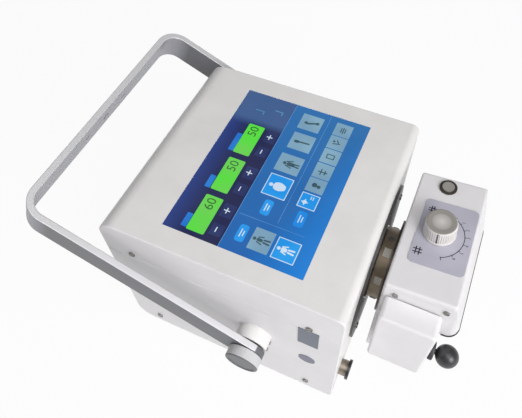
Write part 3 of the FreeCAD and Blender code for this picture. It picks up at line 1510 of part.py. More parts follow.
doc.recompute()
broken = [item.Name for item in doc.Objects if "Invalid" in item.State or "Error" in item.State]
if broken:
    raise SystemExit(f"failed objects: {broken}")
os.makedirs("parts", exist_ok=True)
for made in nodes:
    if made.Shape.isNull() or not made.Shape.isValid():
        raise SystemExit(f"no valid shape: {made.Label}")
for made in nodes:
    made.Shape.exportStep(os.path.join("parts", made.Label + ".step"))
    print(made.Label, len(made.Shape.Solids), round(made.Shape.Volume))
print(len(nodes), "sub-parts")
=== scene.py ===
# %% [markdown]
# A portable x-ray machine, dressed for a photograph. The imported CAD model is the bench: it holds
# every rigid part in its real place. This script gives each part its finish and adds what a
# CAD model leaves out: the picture on the touch screen, the printed scale, knurling and trim.
# All sizes are in metres, and every piece sits in the same frame as the CAD.

import json
import math

import bpy
import numpy as np
from mathutils import Matrix, Vector

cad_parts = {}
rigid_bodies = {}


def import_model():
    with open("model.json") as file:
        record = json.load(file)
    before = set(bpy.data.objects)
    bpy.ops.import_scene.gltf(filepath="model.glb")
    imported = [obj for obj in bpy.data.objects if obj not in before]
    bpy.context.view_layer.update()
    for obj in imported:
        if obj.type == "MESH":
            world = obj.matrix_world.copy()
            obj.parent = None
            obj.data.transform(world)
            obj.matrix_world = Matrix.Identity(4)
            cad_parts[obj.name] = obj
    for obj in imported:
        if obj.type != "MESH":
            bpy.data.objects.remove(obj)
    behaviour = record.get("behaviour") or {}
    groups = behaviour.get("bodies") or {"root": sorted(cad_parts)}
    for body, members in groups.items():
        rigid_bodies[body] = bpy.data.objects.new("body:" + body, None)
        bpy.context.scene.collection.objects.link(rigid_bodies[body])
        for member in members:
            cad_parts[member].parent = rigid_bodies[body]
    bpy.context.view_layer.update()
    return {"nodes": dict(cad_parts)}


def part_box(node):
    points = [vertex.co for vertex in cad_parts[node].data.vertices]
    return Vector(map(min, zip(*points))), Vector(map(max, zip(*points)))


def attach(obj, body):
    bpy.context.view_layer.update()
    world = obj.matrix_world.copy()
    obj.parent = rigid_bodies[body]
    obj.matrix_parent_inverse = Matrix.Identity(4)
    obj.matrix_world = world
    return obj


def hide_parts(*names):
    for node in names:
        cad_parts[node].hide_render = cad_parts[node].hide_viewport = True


for leftover in list(bpy.data.objects):
    bpy.data.objects.remove(leftover)
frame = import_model()
nodes = frame["nodes"]
MM = 0.001

# %% [markdown]
# The camera comes first. The machine was photographed from high up on its near side, with a
# short lens and the machine low in the frame, so the camera has a lens shift. The view was
# solved from the corners of the screen, the case and the handle, which gives the position, the
# three axes of the camera and the focal length in pixels of a 522 by 418 picture.

# %% Camera
VIEW_AZIMUTH, VIEW_ELEVATION, VIEW_ROLL = np.radians([24.899, 51.794, -1.318])
VIEW_FROM = Vector((0.165208, -0.32448, 0.743986))
FOCAL_PIXELS = 555.195
PICTURE_WIDTH, PICTURE_HEIGHT = 522, 418
PRINCIPAL_POINT = (278.614, 150.0)


def camera_matrix():
    """The camera's axes: it looks along -Z, with X to the right, rolled about the look."""
    look = Vector((
        -math.sin(VIEW_AZIMUTH) * math.cos(VIEW_ELEVATION),
        math.cos(VIEW_AZIMUTH) * math.cos(VIEW_ELEVATION),
        -math.sin(VIEW_ELEVATION),
    ))
    right = look.cross(Vector((0, 0, 1))).normalized()
    up = right.cross(look)
    turn_cos, turn_sin = math.cos(VIEW_ROLL), math.sin(VIEW_ROLL)
    across = right * turn_cos + up * turn_sin
    upward = up * turn_cos - right * turn_sin
    axes = Matrix((across, upward, -look)).transposed().to_4x4()
    return Matrix.Translation(VIEW_FROM) @ axes


lens = bpy.data.cameras.new("camera")
lens.sensor_width = 36.0
lens.sensor_fit = "HORIZONTAL"
lens.lens = FOCAL_PIXELS / PICTURE_WIDTH * lens.sensor_width
lens.shift_x = (PICTURE_WIDTH / 2 - PRINCIPAL_POINT[0]) / PICTURE_WIDTH
lens.shift_y = (PRINCIPAL_POINT[1] - PICTURE_HEIGHT / 2) / PICTURE_WIDTH
camera = bpy.data.objects.new("camera", lens)
bpy.context.scene.collection.objects.link(camera)
camera.matrix_world = camera_matrix()
bpy.context.scene.camera = camera
bpy.context.scene.view_settings.view_transform = "Standard"
print("lens:", round(lens.lens, 1), "mm, shift:", round(lens.shift_x, 3), round(lens.shift_y, 3))

# %% [markdown]
# Two helpers build every new surface. The first turns a grid of points into a closed skin: the
# columns of the grid close into loops, and its first and last loops are capped. The second
# joins several skins into one piece, which keeps a row of buttons a single object.


# %% Mesh helpers
def shell(grid):
    """Points and faces of a grid: quads between neighbours, and a cap on each end loop."""
    rows, columns = grid.shape[:2]
    row, column = np.meshgrid(np.arange(rows - 1), np.arange(columns), indexing="ij")
    after = (column + 1) % columns
    corners = [row * columns + column, row * columns + after,
               (row + 1) * columns + after, (row + 1) * columns + column]
    quads = np.stack(corners, axis=-1).reshape(-1, 4).tolist()
    last = (rows - 1) * columns
    caps = [list(range(columns))[::-1], list(range(last, last + columns))]
    return grid.reshape(-1, 3), quads + caps


def piece(name, skins, material, body, stands_for=(), crease=35.0):
    """One object from closed skins, smooth except where faces meet past the crease angle."""
    start, points, faces = 0, [], []
    for skin_points, skin_faces in skins:
        points.append(skin_points)
        faces += [[start + corner for corner in face] for face in skin_faces]
        start += len(skin_points)
    mesh = bpy.data.meshes.new(name)
    mesh.from_pydata(np.concatenate(points).tolist(), [], faces)
    mesh.polygons.foreach_set("use_smooth", [True] * len(mesh.polygons))
    mesh.set_sharp_from_angle(angle=math.radians(crease))
    mesh.materials.append(material)
    made = bpy.data.objects.new(name, mesh)
    bpy.context.scene.collection.objects.link(made)
    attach(made, body)
    if stands_for:
        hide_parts(*stands_for)
    print(name, len(faces), "faces")
    return made


def circle(radius, count=48, centre=(0.0, 0.0)):
    """Points of a circle, counter-clockwise."""
    turn = np.linspace(0, 2 * np.pi, count, endpoint=False)
    return np.stack([radius * np.cos(turn), radius * np.sin(turn)], axis=-1) + centre


def rounded_box(width, height, radius, centre=(0.0, 0.0), turn=0.0, steps=5):
    """A rectangle's outline with quarter circles at its corners, turned about its centre."""
    quarter = np.linspace(0, np.pi / 2, steps)[None, :] + np.arange(4)[:, None] * np.pi / 2
    corner = np.array([[1, 1], [-1, 1], [-1, -1], [1, -1]])
    middle = corner * (np.array([width, height]) / 2 - radius)
    arcs = np.stack([np.cos(quarter), np.sin(quarter)], axis=-1) * radius + middle[:, None, :]
    spin = np.array([[math.cos(turn), -math.sin(turn)], [math.sin(turn), math.cos(turn)]])
    return arcs.reshape(-1, 2) @ spin.T + centre


PLATE_EDGE = 0.01


def plate(outline, low, high, place):
    """A thin plate: its outline at the low and high level, then drawn in by the edge on top."""
    centre = outline.mean(axis=0)
    reach = np.linalg.norm(outline - centre, axis=1, keepdims=True)
    inner = centre + (outline - centre) * (1 - PLATE_EDGE / reach)
    loops = ((outline, low), (outline, high - PLATE_EDGE), (inner, high))
    grid = np.stack([np.column_stack([flat, np.full(len(flat), rise)]) for flat, rise in loops])
    return shell(place(grid))


def spun(profile, count, place, ripple=None):
    """A surface of revolution: each profile point (radius, height), from the bottom up, goes
    round in a circle, and the ripple adds to the radius by the turn and the height."""
    turn = np.linspace(0, 2 * np.pi, count, endpoint=False)[None, :]
    profile = np.array(profile, dtype=float)
    radius = profile[:, :1] + np.zeros_like(turn)
    if ripple is not None:
        radius = radius + ripple(turn, profile[:, 1:])
    height = profile[:, 1:] + np.zeros_like(turn)
    return shell(place(np.stack([radius * np.cos(turn), radius * np.sin(turn), height], axis=-1)))


def ribbon(path, width, low, high, place):
    """A flat line of even width along a path: each point steps sideways by half the width."""
    path = np.array(path, dtype=float)
    along = np.gradient(path, axis=0)
    along /= np.linalg.norm(along, axis=1, keepdims=True)
    side = np.column_stack([-along[:, 1], along[:, 0]]) * width / 2
    flat = np.concatenate([path - side, (path + side)[::-1]])
    return plate_from_loop(flat, low, high, place)


def plate_from_loop(outline, low, high, place):
    """A plate with straight walls over any counter-clockwise outline."""
    loops = [np.column_stack([outline, np.full(len(outline), rise)]) for rise in (low, high)]
    return shell(place(np.stack(loops)))


def figures(text, size, centre, low, high, place, turn=0.0):
    """Numbers from Blender's own font, turned and centred in numpy before they are placed."""
    letters = bpy.data.curves.new("figures", "FONT")
    letters.body = text
    letters.size = size * MM
    letters.align_x, letters.align_y = "CENTER", "CENTER"
    letters.extrude = (high - low) * MM / 2
    letters.resolution_u = 4
    holder = bpy.data.objects.new("figures", letters)
    bpy.context.scene.collection.objects.link(holder)
    bpy.context.view_layer.update()
    mesh = bpy.data.meshes.new_from_object(holder)
    points = np.array([corner.co for corner in mesh.vertices]) / MM
    faces = [list(polygon.vertices) for polygon in mesh.polygons]
    bpy.data.objects.remove(holder)
    bpy.data.meshes.remove(mesh)
    bpy.data.curves.remove(letters)
    spin = np.array([[math.cos(turn), -math.sin(turn)], [math.sin(turn), math.cos(turn)]])
    points[:, :2] = points[:, :2] @ spin.T + centre
    points[:, 2] += (low + high) / 2
    return place(points), faces


# %% [markdown]
# Several finishes share the same small effects, so each effect is a node group, built once.
# Powder coat has a faint orange peel and a very slow change of tone. Brushed metal has fine
# lines along one direction. A band picks out part of a piece by how far along an axis it lies,
# which lets one solid have a bright rim and a dark face.


# %% Shared shader groups
def new_group(name, inputs, outputs):
    """A shader node group with named inputs (label, default) and outputs (label, kind)."""
    made = bpy.data.node_groups.new(name, "ShaderNodeTree")
    for label, default in inputs:
        kind = "NodeSocketVector" if isinstance(default, tuple) else "NodeSocketFloat"
        socket = made.interface.new_socket(name=label, in_out="INPUT", socket_type=kind)
        socket.default_value = default
    for label, kind in outputs:
        made.interface.new_socket(name=label, in_out="OUTPUT", socket_type=kind)
    return made, made.nodes.new("NodeGroupInput"), made.nodes.new("NodeGroupOutput")


def add(tree, kind, **settings):
    """A node with its properties and input values set by name."""
    made = tree.nodes.new("ShaderNode" + kind)
    for key, value in settings.items():
        if key in made.inputs:
            made.inputs[key].default_value = value
        else:
            setattr(made, key, value)
    return made


def coat_group():
    """Height: fine noise. Tone: slow noise from 0 to 1. Both from Object coordinates."""
    tree, entry, leave = new_group(
        "coat", [("Peel", 1300.0), ("Patch", 22.0)],
        [("Height", "NodeSocketFloat"), ("Tone", "NodeSocketFloat")],
    )
    where = add(tree, "TexCoord")
    fine = add(tree, "TexNoise", Detail=2.0, Roughness=0.5)
    slow = add(tree, "TexNoise", Detail=3.0, Roughness=0.6)
    for noise, label in ((fine, "Peel"), (slow, "Patch")):
        tree.links.new(where.outputs["Object"], noise.inputs["Vector"])
        tree.links.new(entry.outputs[label], noise.inputs["Scale"])
    tree.links.new(fine.outputs["Fac"], leave.inputs["Height"])
    tree.links.new(slow.outputs["Fac"], leave.inputs["Tone"])
    return tree


def brushed_group():
    """Noise squeezed along two axes and drawn out along the third, for drawn or turned metal."""
    tree, entry, leave = new_group(
        "brushed", [("Stretch", (6.0, 900.0, 900.0))],
        [("Height", "NodeSocketFloat"), ("Tone", "NodeSocketFloat")],
    )
    where = add(tree, "TexCoord")
    drawn = add(tree, "Mapping")
    lines = add(tree, "TexNoise", Scale=1.0, Detail=3.0, Roughness=0.65)
    slow = add(tree, "TexNoise", Scale=35.0, Detail=2.0)
    tree.links.new(where.outputs["Object"], drawn.inputs["Vector"])
    tree.links.new(entry.outputs["Stretch"], drawn.inputs["Scale"])
    tree.links.new(drawn.outputs["Vector"], lines.inputs["Vector"])
    tree.links.new(where.outputs["Object"], slow.inputs["Vector"])
    tree.links.new(lines.outputs["Fac"], leave.inputs["Height"])
    tree.links.new(slow.outputs["Fac"], leave.inputs["Tone"])
    return tree


def band_group():
    """Mask: 0 below a distance along an axis and 1 above it, with a short soft step."""
    tree, entry, leave = new_group(
        "band", [("Axis", (0.0, 0.0, 1.0)), ("Start", 0.0), ("Soft", 0.0002)],
        [("Mask", "NodeSocketFloat")],
    )
    where = add(tree, "TexCoord")
    along = add(tree, "VectorMath", operation="DOT_PRODUCT")
    past = add(tree, "Math", operation="SUBTRACT")
    scaled = add(tree, "Math", operation="DIVIDE", use_clamp=True)
    tree.links.new(where.outputs["Object"], along.inputs[0])
    tree.links.new(entry.outputs["Axis"], along.inputs[1])
    tree.links.new(along.outputs["Value"], past.inputs[0])
    tree.links.new(entry.outputs["Start"], past.inputs[1])
    tree.links.new(past.outputs[0], scaled.inputs[0])
    tree.links.new(entry.outputs["Soft"], scaled.inputs[1])
    tree.links.new(scaled.outputs[0], leave.inputs["Mask"])
    return tree


COAT, BRUSHED, BAND = coat_group(), brushed_group(), band_group()


# %% Material helpers
def linear(red, green, blue):
    """A colour given as screen values from 0 to 255, as linear light."""
    values = np.array([red, green, blue]) / 255.0
    light = np.where(values <= 0.04045, values / 12.92, ((values + 0.055) / 1.055) ** 2.4)
    return tuple(float(value) for value in light) + (1.0,)


def mixed(tree, factor, low, high):
    """A colour between two, by a factor that changes over the surface."""
    made = add(tree, "Mix", data_type="RGBA")
    tree.links.new(factor, made.inputs[0])
    for socket, value in ((made.inputs[6], low), (made.inputs[7], high)):
        if isinstance(value, tuple):
            socket.default_value = value
        else:
            tree.links.new(value, socket)
    return made.outputs[2]


def ranged(tree, value, low, high, start=0.0, end=1.0):
    """A value mapped from one range to another."""
    made = add(tree, "MapRange")
    tree.links.new(value, made.inputs["Value"])
    made.inputs["From Min"].default_value = start
    made.inputs["From Max"].default_value = end
    made.inputs["To Min"].default_value = low
    made.inputs["To Max"].default_value = high
    return made.outputs[0]


def finish(name, dark, light, rough, effect=COAT, depth=0.00002, inputs=None, **constants):
    """A material whose colour and roughness drift with the effect's tone, and whose bump
    comes from its height. The other values are the same all over, set on the shader."""
    made = bpy.data.materials.new(name)
    made.use_nodes = True
    tree = made.node_tree
    shader = tree.nodes["Principled BSDF"]
    pattern = add(tree, "Group")
    pattern.node_tree = effect
    for key, value in (inputs or {}).items():
        pattern.inputs[key].default_value = value
    tone = ranged(tree, pattern.outputs["Tone"], 0.0, 1.0, 0.3, 0.7)
    tree.links.new(mixed(tree, tone, dark, light), shader.inputs["Base Color"])
    tree.links.new(ranged(tree, tone, rough[0], rough[1]), shader.inputs["Roughness"])
    bump = add(tree, "Bump", Strength=1.0, Distance=depth)
    tree.links.new(pattern.outputs["Height"], bump.inputs["Height"])
    tree.links.new(bump.outputs["Normal"], shader.inputs["Normal"])
    for key, value in constants.items():
        shader.inputs[key.replace("_", " ")].default_value = value
    return made


def banded(made, axis, start, colour, rough, soft=0.0002):
    """Give a finish a second colour and roughness past a distance along an axis."""
    tree = made.node_tree
    shader = tree.nodes["Principled BSDF"]
    mask = add(tree, "Group")
    mask.node_tree = BAND
    mask.inputs["Axis"].default_value = axis
    mask.inputs["Start"].default_value = start
    mask.inputs["Soft"].default_value = soft
    before = shader.inputs["Base Color"].links[0].from_socket
    tree.links.new(mixed(tree, mask.outputs["Mask"], before, colour), shader.inputs["Base Color"])
    rough_before = shader.inputs["Roughness"].links[0].from_socket
    blend = add(tree, "Mix", data_type="FLOAT")
    tree.links.new(mask.outputs["Mask"], blend.inputs[0])
    tree.links.new(rough_before, blend.inputs[2])
    blend.inputs[3].default_value = rough
    tree.links.new(blend.outputs[0], shader.inputs["Roughness"])


def wear(node, material):
    """Put a finish on a CAD node."""
    for slot in nodes[node].material_slots:
        slot.material = material


# %% [markdown]
# All the sheet metal is powder coated white: half matt, with a faint orange peel that shows
# only where light grazes it. The side panels and the collimator are a shade cooler than the
# wrapped case and the bosses.

# %% White powder coats
white_coat = finish("white_coat", linear(224, 222, 221), linear(231, 229, 228), (0.42, 0.5),
                    Coat_Weight=0.15, Coat_Roughness=0.25)
cool_coat = finish("cool_coat", linear(223, 221, 223), linear(230, 228, 230), (0.4, 0.48),
                   Coat_Weight=0.15, Coat_Roughness=0.25)
for label in ("case_wrap", "pivot_bosses"):
    wear(label, white_coat)
for label in ("side_panel_near", "side_panel_far", "collimator_housing", "collimator_sleeve",
              "collimator_lid"):
    wear(label, cool_coat)

# %% [markdown]
# The handle is one bent aluminium bar. Its wide faces are dark grey on the two arms and lighter
# on the cross bar, a painted sheen for the light its inner face catches, and its narrow edges
# are a light silver grey with a fine bevel.
# Two distances tell these apart: how far a point lies from the pivots along the arms, and how
# far it lies from the middle plane of the bar. Both axes lean with the handle.

# %% Handle
HANDLE_TILT = math.radians(25.0)
PIVOT_SPOT = Vector((41, 0, 121)) * MM
BAR_ALONG = Vector((-math.cos(HANDLE_TILT), 0, math.sin(HANDLE_TILT)))
BAR_NORMAL = Vector((math.sin(HANDLE_TILT), 0, math.cos(HANDLE_TILT)))
BAR_HALF, BEVEL = 19.5 * MM, 0.6 * MM
SHEEN_START, SHEEN_FADE = 252 * MM, 30 * MM
PLANE_REACH = PIVOT_SPOT.dot(BAR_NORMAL)
EDGE_REACH = BAR_HALF - BEVEL
handle_paint = finish("handle_paint", linear(100, 101, 105), linear(112, 113, 118), (0.4, 0.5),
                      inputs={"Peel": 400.0}, depth=0.000002, Metallic=0.25)
bright_edge = linear(214, 213, 216)
# Painted sheen: past this distance along the arms the cross bar takes a lighter colour for the
# light it catches.
banded(handle_paint, tuple(BAR_ALONG), PIVOT_SPOT.dot(BAR_ALONG) + SHEEN_START,
       linear(176, 177, 184), 0.42, SHEEN_FADE)
for side in (1, -1):
    banded(handle_paint, tuple(side * BAR_NORMAL), side * PLANE_REACH + EDGE_REACH,
           bright_edge, 0.35)
wear("handle_bail", handle_paint)

# %% [markdown]
# The rest of the parts take their finishes from a table: brown steel at the swivel, dull
# screws, black plastic and rubber, green circuit boards and the cast tank inside.

# %% Metals, plastics and rubber
ring_steel = finish("ring_steel", linear(140, 122, 100), linear(184, 168, 147), (0.35, 0.5),
                    effect=BRUSHED, inputs={"Stretch": (900.0, 60.0, 60.0)},
                    depth=0.00003, Metallic=0.35)
socket_steel = finish("socket_steel", linear(128, 118, 106), linear(178, 168, 154), (0.3, 0.45),
                      effect=BRUSHED, inputs={"Stretch": (60.0, 500.0, 500.0)},
                      depth=0.00003, Metallic=0.7)
swivel_steel = finish("swivel_steel", linear(84, 78, 71), linear(112, 105, 97), (0.35, 0.5),
                      effect=BRUSHED, depth=0.00002, Metallic=0.5)
screw_steel = finish("screw_steel", linear(120, 118, 116), linear(164, 161, 158), (0.28, 0.42),
                     effect=BRUSHED, depth=0.00001, Metallic=0.9)
bezel_metal = finish("bezel_metal", linear(62, 58, 54), linear(86, 81, 76), (0.3, 0.42),
                     effect=BRUSHED, depth=0.00001, Metallic=0.6)
cap_steel = finish("cap_steel", linear(176, 170, 165), linear(204, 199, 194), (0.28, 0.42),
                   effect=BRUSHED, depth=0.00001, Metallic=0.7)
bare_steel = finish("bare_steel", linear(150, 150, 152), linear(176, 176, 178), (0.3, 0.42),
                    effect=BRUSHED, depth=0.00001, Metallic=0.9)
cast_metal = finish("cast_metal", linear(176, 177, 180), linear(196, 197, 200), (0.45, 0.6),
                    inputs={"Peel": 500.0}, depth=0.0001, Metallic=0.6)
lead_metal = finish("lead_metal", linear(92, 93, 98), linear(112, 113, 118), (0.5, 0.65),
                    Metallic=0.5)
flange_black = finish("flange_black", linear(58, 57, 58), linear(74, 72, 71), (0.35, 0.5),
                      Metallic=0.2)
black_plastic = finish("black_plastic", linear(38, 38, 41), linear(50, 50, 53), (0.28, 0.4),
                       inputs={"Peel": 700.0}, Coat_Weight=0.3, Coat_Roughness=0.2)
matt_plastic = finish("matt_plastic", linear(52, 52, 55), linear(62, 62, 65), (0.5, 0.62),
                      inputs={"Peel": 1000.0}, depth=0.00004)
rubber = finish("rubber", linear(34, 34, 35), linear(44, 44, 45), (0.7, 0.85),
                inputs={"Peel": 1500.0}, depth=0.00005)
board_green = finish("board_green", linear(18, 92, 52), linear(26, 112, 62), (0.35, 0.5),
                     inputs={"Peel": 260.0, "Patch": 160.0}, Coat_Weight=0.4)
sleeve_blue = finish("sleeve_blue", linear(28, 36, 70), linear(38, 46, 84), (0.3, 0.4))
mirror_glass = finish("mirror_glass", linear(214, 216, 218), linear(222, 224, 226), (0.03, 0.06),
                      depth=0.000001, Metallic=1.0)
clear_glass = finish("clear_glass", linear(222, 232, 234), linear(232, 240, 242), (0.05, 0.08),
                     depth=0.000002, Transmission_Weight=0.85, IOR=1.45)
FINISHES = {
    ring_steel: ("swivel_ring",),
    socket_steel: ("hand_switch_socket",),
    swivel_steel: ("swivel_flange",),
    screw_steel: ("side_screws", "small_screws", "cover_screws", "board_posts", "pivot_bolts",
                  "knob_shaft"),
    cap_steel: ("lamp_button",),
    bare_steel: ("chassis_tray", "tank_cradles", "corner_posts", "leaf_guide", "accessory_rails",
                 "lamp"),
    cast_metal: ("tube_tank", "heat_sink"),
    lead_metal: ("side_leaf_near", "side_leaf_far", "lower_leaf", "upper_leaf",
                 "hv_transformer"),
    flange_black: ("front_flange",),
    bezel_metal: ("lamp_button_bezel",),
    black_plastic: ("switch_rocker", "socket_cap", "lock_knob"),
    matt_plastic: ("power_inlet", "switch_frame", "fan_frame", "fan_rotor", "power_supply",
                   "display_module", "beam_nozzle", "tube_supports", "lamp_switch"),
    rubber: ("feet", "friction_washers", "screen_gasket"),
    board_green: ("control_board", "inverter_board"),
    sleeve_blue: ("capacitors",),
    mirror_glass: ("mirror",),
    clear_glass: ("beam_window", "x_ray_tube"),
}
for material, labels in FINISHES.items():
    for label in labels:
        wear(label, material)

# %% [markdown]
# The swivel ring is darker and browner on its round parts. The flats milled into it carry a
# painted reflection: a pale colour for the light they catch. A flat lies nearer to the beam's
# axis than the round does, so the distance from that axis tells them apart: the length of a
# point's vector once its X is struck out.

# %% Swivel ring
BEAM_HEIGHT, FLAT_REACH, FLAT_FADE = 141.0 * MM, 42.5 * MM, 0.1 * MM
tree = ring_steel.node_tree
where = add(tree, "TexCoord")
level = add(tree, "VectorMath", operation="SUBTRACT")
level.inputs[1].default_value = (0.0, 0.0, BEAM_HEIGHT)
struck = add(tree, "VectorMath", operation="MULTIPLY")
struck.inputs[1].default_value = (0.0, 1.0, 1.0)
away = add(tree, "VectorMath", operation="LENGTH")
tree.links.new(where.outputs["Object"], level.inputs[0])
tree.links.new(level.outputs[0], struck.inputs[0])
tree.links.new(struck.outputs[0], away.inputs[0])
shader = tree.nodes["Principled BSDF"]
before = shader.inputs["Base Color"].links[0].from_socket
# Painted reflection: the flats get a pale colour for the light they catch.
flat_reflection_mask = ranged(tree, away.outputs["Value"], 0.0, 1.0,
                 FLAT_REACH + FLAT_FADE, FLAT_REACH - FLAT_FADE)
tree.links.new(mixed(tree, flat_reflection_mask, before, linear(214, 210, 200)), shader.inputs["Base Color"])

# %% [markdown]
# Each clamp knob is a light disc with a dark grey end face, so a band along Y splits it: past
# the rim of the disc the colour turns dark.

# %% Clamp knobs
CLAMP_FACE = 167.3 * MM
for label, side in (("clamp_knob_near", -1.0), ("clamp_knob_far", 1.0)):
    knob_paint = finish(label + "_paint", linear(190, 189, 191), linear(201, 200, 202),
                        (0.38, 0.46), Coat_Weight=0.1)
    banded(knob_paint, (0.0, side, 0.0), CLAMP_FACE, linear(106, 108, 111), 0.5)
    wear(label, knob_paint)

# %% [markdown]
# The touch screen is one sheet of glass with a picture lit from below. The background of the
# picture is a slow drift of blues, so it is worked out in the glass's own material: distances
# across and up the screen choose between a few colours. A fine grid of pixels dims it slightly.


# %% Screen light
def pixel_group():
    """Grid: 1 on a pixel and less between pixels, from two crossed sine waves. Drift: noise."""
    tree, entry, leave = new_group(
        "pixels", [("Pitch", 0.00028)],
        [("Grid", "NodeSocketFloat"), ("Drift", "NodeSocketFloat")],
    )
    where = add(tree, "TexCoord")
    split = add(tree, "SeparateXYZ")
    tree.links.new(where.outputs["Object"], split.inputs[0])
    waves = []
    for axis in ("X", "Y"):
        counted = add(tree, "Math", operation="DIVIDE")
        turned = add(tree, "Math", operation="MULTIPLY")
        turned.inputs[1].default_value = 2 * math.pi
        wave = add(tree, "Math", operation="SINE")
        tree.links.new(split.outputs[axis], counted.inputs[0])
        tree.links.new(entry.outputs["Pitch"], counted.inputs[1])
        tree.links.new(counted.outputs[0], turned.inputs[0])
        tree.links.new(turned.outputs[0], wave.inputs[0])
        waves.append(wave.outputs[0])
    crossed = add(tree, "Math", operation="ADD")
    tree.links.new(waves[0], crossed.inputs[0])
    tree.links.new(waves[1], crossed.inputs[1])
    tree.links.new(ranged(tree, crossed.outputs[0], 0.9, 1.0, -2.0, 1.0), leave.inputs["Grid"])
    noise = add(tree, "TexNoise", Scale=30.0, Detail=1.0)
    tree.links.new(where.outputs["Object"], noise.inputs["Vector"])
    tree.links.new(noise.outputs["Fac"], leave.inputs["Drift"])
    return tree


PIXELS = pixel_group()
SCREEN_GLOW = 0.95
SCREEN_X, SCREEN_TOP = 7.0, 244.6
SCREEN_WIDE, SCREEN_DEEP = 211.2, 158.4


def on_screen(points):
    """Screen millimetres (right, up, above the glass) to the world: right is +Y, up is -X."""
    right, up, rise = np.moveaxis(points, -1, 0)
    return np.stack([SCREEN_X - up, right, SCREEN_TOP + rise], axis=-1) * MM


def lit(name, colour_at):
    """A lit picture: colour_at gives the colour socket, and the pixel grid dims it."""
    made = bpy.data.materials.new(name)
    made.use_nodes = True
    tree = made.node_tree
    shader = tree.nodes["Principled BSDF"]
    pixels = add(tree, "Group")
    pixels.node_tree = PIXELS
    colour = colour_at(tree, pixels.outputs["Drift"])
    shade = add(tree, "Mix", data_type="RGBA", blend_type="MULTIPLY")
    shade.inputs[0].default_value = 1.0
    tree.links.new(colour, shade.inputs[6])
    tree.links.new(pixels.outputs["Grid"], shade.inputs[7])
    tree.links.new(shade.outputs[2], shader.inputs["Emission Color"])
    shader.inputs["Emission Strength"].default_value = SCREEN_GLOW
    tree.links.new(ranged(tree, pixels.outputs["Drift"], 0.01, 0.03), shader.inputs["Base Color"])
    tree.links.new(ranged(tree, pixels.outputs["Drift"], 0.1, 0.16), shader.inputs["Roughness"])
    shader.inputs["Specular IOR Level"].default_value = 0.25
    return made


def plain_light(low, high):
    """A colour that drifts a little between two."""
    return lambda tree, drift: mixed(tree, ranged(tree, drift, 0.0, 1.0, 0.35, 0.65), low, high)


def background(tree, drift):
    """Blue below the line, brighter towards the near low corner, and navy above the line, with
    a steel blue patch at its far end."""
    where = add(tree, "TexCoord")
    split = add(tree, "SeparateXYZ")
    tree.links.new(where.outputs["Object"], split.inputs[0])
    across, depth = split.outputs["Y"], split.outputs["X"]
    half = SCREEN_WIDE / 2 * MM
    to_far = ranged(tree, across, 0.0, 1.0, -half, half)
    main = mixed(tree, to_far, linear(12, 98, 178), linear(34, 110, 176))
    low = ranged(tree, depth, 0.0, 1.0, 20 * MM, 86 * MM)
    near = add(tree, "Math", operation="SUBTRACT", use_clamp=True)
    tree.links.new(low, near.inputs[0])
    tree.links.new(to_far, near.inputs[1])
    main = mixed(tree, near.outputs[0], main, linear(0, 130, 222))
    navy = mixed(tree, ranged(tree, depth, 0.0, 1.0, -45 * MM, -72.2 * MM),
                 linear(16, 24, 76), linear(30, 58, 132))
    steel = ranged(tree, across, 0.0, 1.0, 52 * MM, 64 * MM)
    strip = mixed(tree, steel, navy, linear(58, 92, 144))
    above = ranged(tree, depth, 0.0, 1.0, -6.8 * MM, -7.2 * MM)
    return mixed(tree, above, main, strip)


wear("screen_glass", lit("screen_background", background))
print("screen:", SCREEN_WIDE, "by", SCREEN_DEEP, "mm")

# %% [markdown]
# The picture's tiles, buttons and readouts are thin plates on the glass, a twentieth of a
# millimetre high. Separate plates give crisp edges at any distance, which a pattern inside the
# glass could not give without an image.

# %% Screen plates
READOUTS = [(-76.5, 44.0, 46.5, 20.7), (-21.9, 44.3, 47.0, 20.5), (32.7, 45.0, 46.0, 20.0)]
READOUT_VALUES = ["60", "50", "50"]
TABS = [(-89.9, 58.1, 17.0, 6.6), (-36.9, 58.7, 17.0, 6.6), (23.8, 58.5, 27.0, 6.6)]
GREY_TILES = [(84.0, -11.8, 24.0, 26.4), (52.6, -12.7, 25.0, 27.0), (18.2, -12.0, 25.5, 28.0),
              (88.0, -50.7, 19.5, 20.5), (67.5, -50.7, 19.5, 20.5), (46.0, -50.7, 21.0, 20.5),
              (23.7, -50.5, 21.0, 20.5), (2.7, -50.3, 19.0, 20.5), (-82.0, -24.2, 26.0, 22.4)]
CHOSEN_TILES = [(-14.5, -12.2, 29.0, 27.7), (-19.2, -50.2, 19.5, 20.5),
                (-82.5, -51.5, 25.0, 25.0)]
CHOSEN_RIM = 0.9
BUTTONS = [(-43.7, -12.5, 19.5, 10.4), (-43.0, -50.7, 20.0, 10.6), (-81.8, -1.8, 20.4, 10.3)]
KEY_BOXES = [(-64.0, 23.4, 17.0, 13.5), (-88.6, 23.4, 14.5, 13.5), (-10.3, 23.2, 17.0, 13.5),
             (-33.6, 23.4, 14.5, 13.5), (44.9, 23.4, 17.0, 13.5), (21.8, 23.6, 14.5, 13.5)]


def tiles(spots, radius, low=0.0, high=0.05):
    """One plate for each (right, up, width, height)."""
    return [plate(rounded_box(width, height, radius, (right, up)), low, high, on_screen)
            for right, up, width, height in spots]


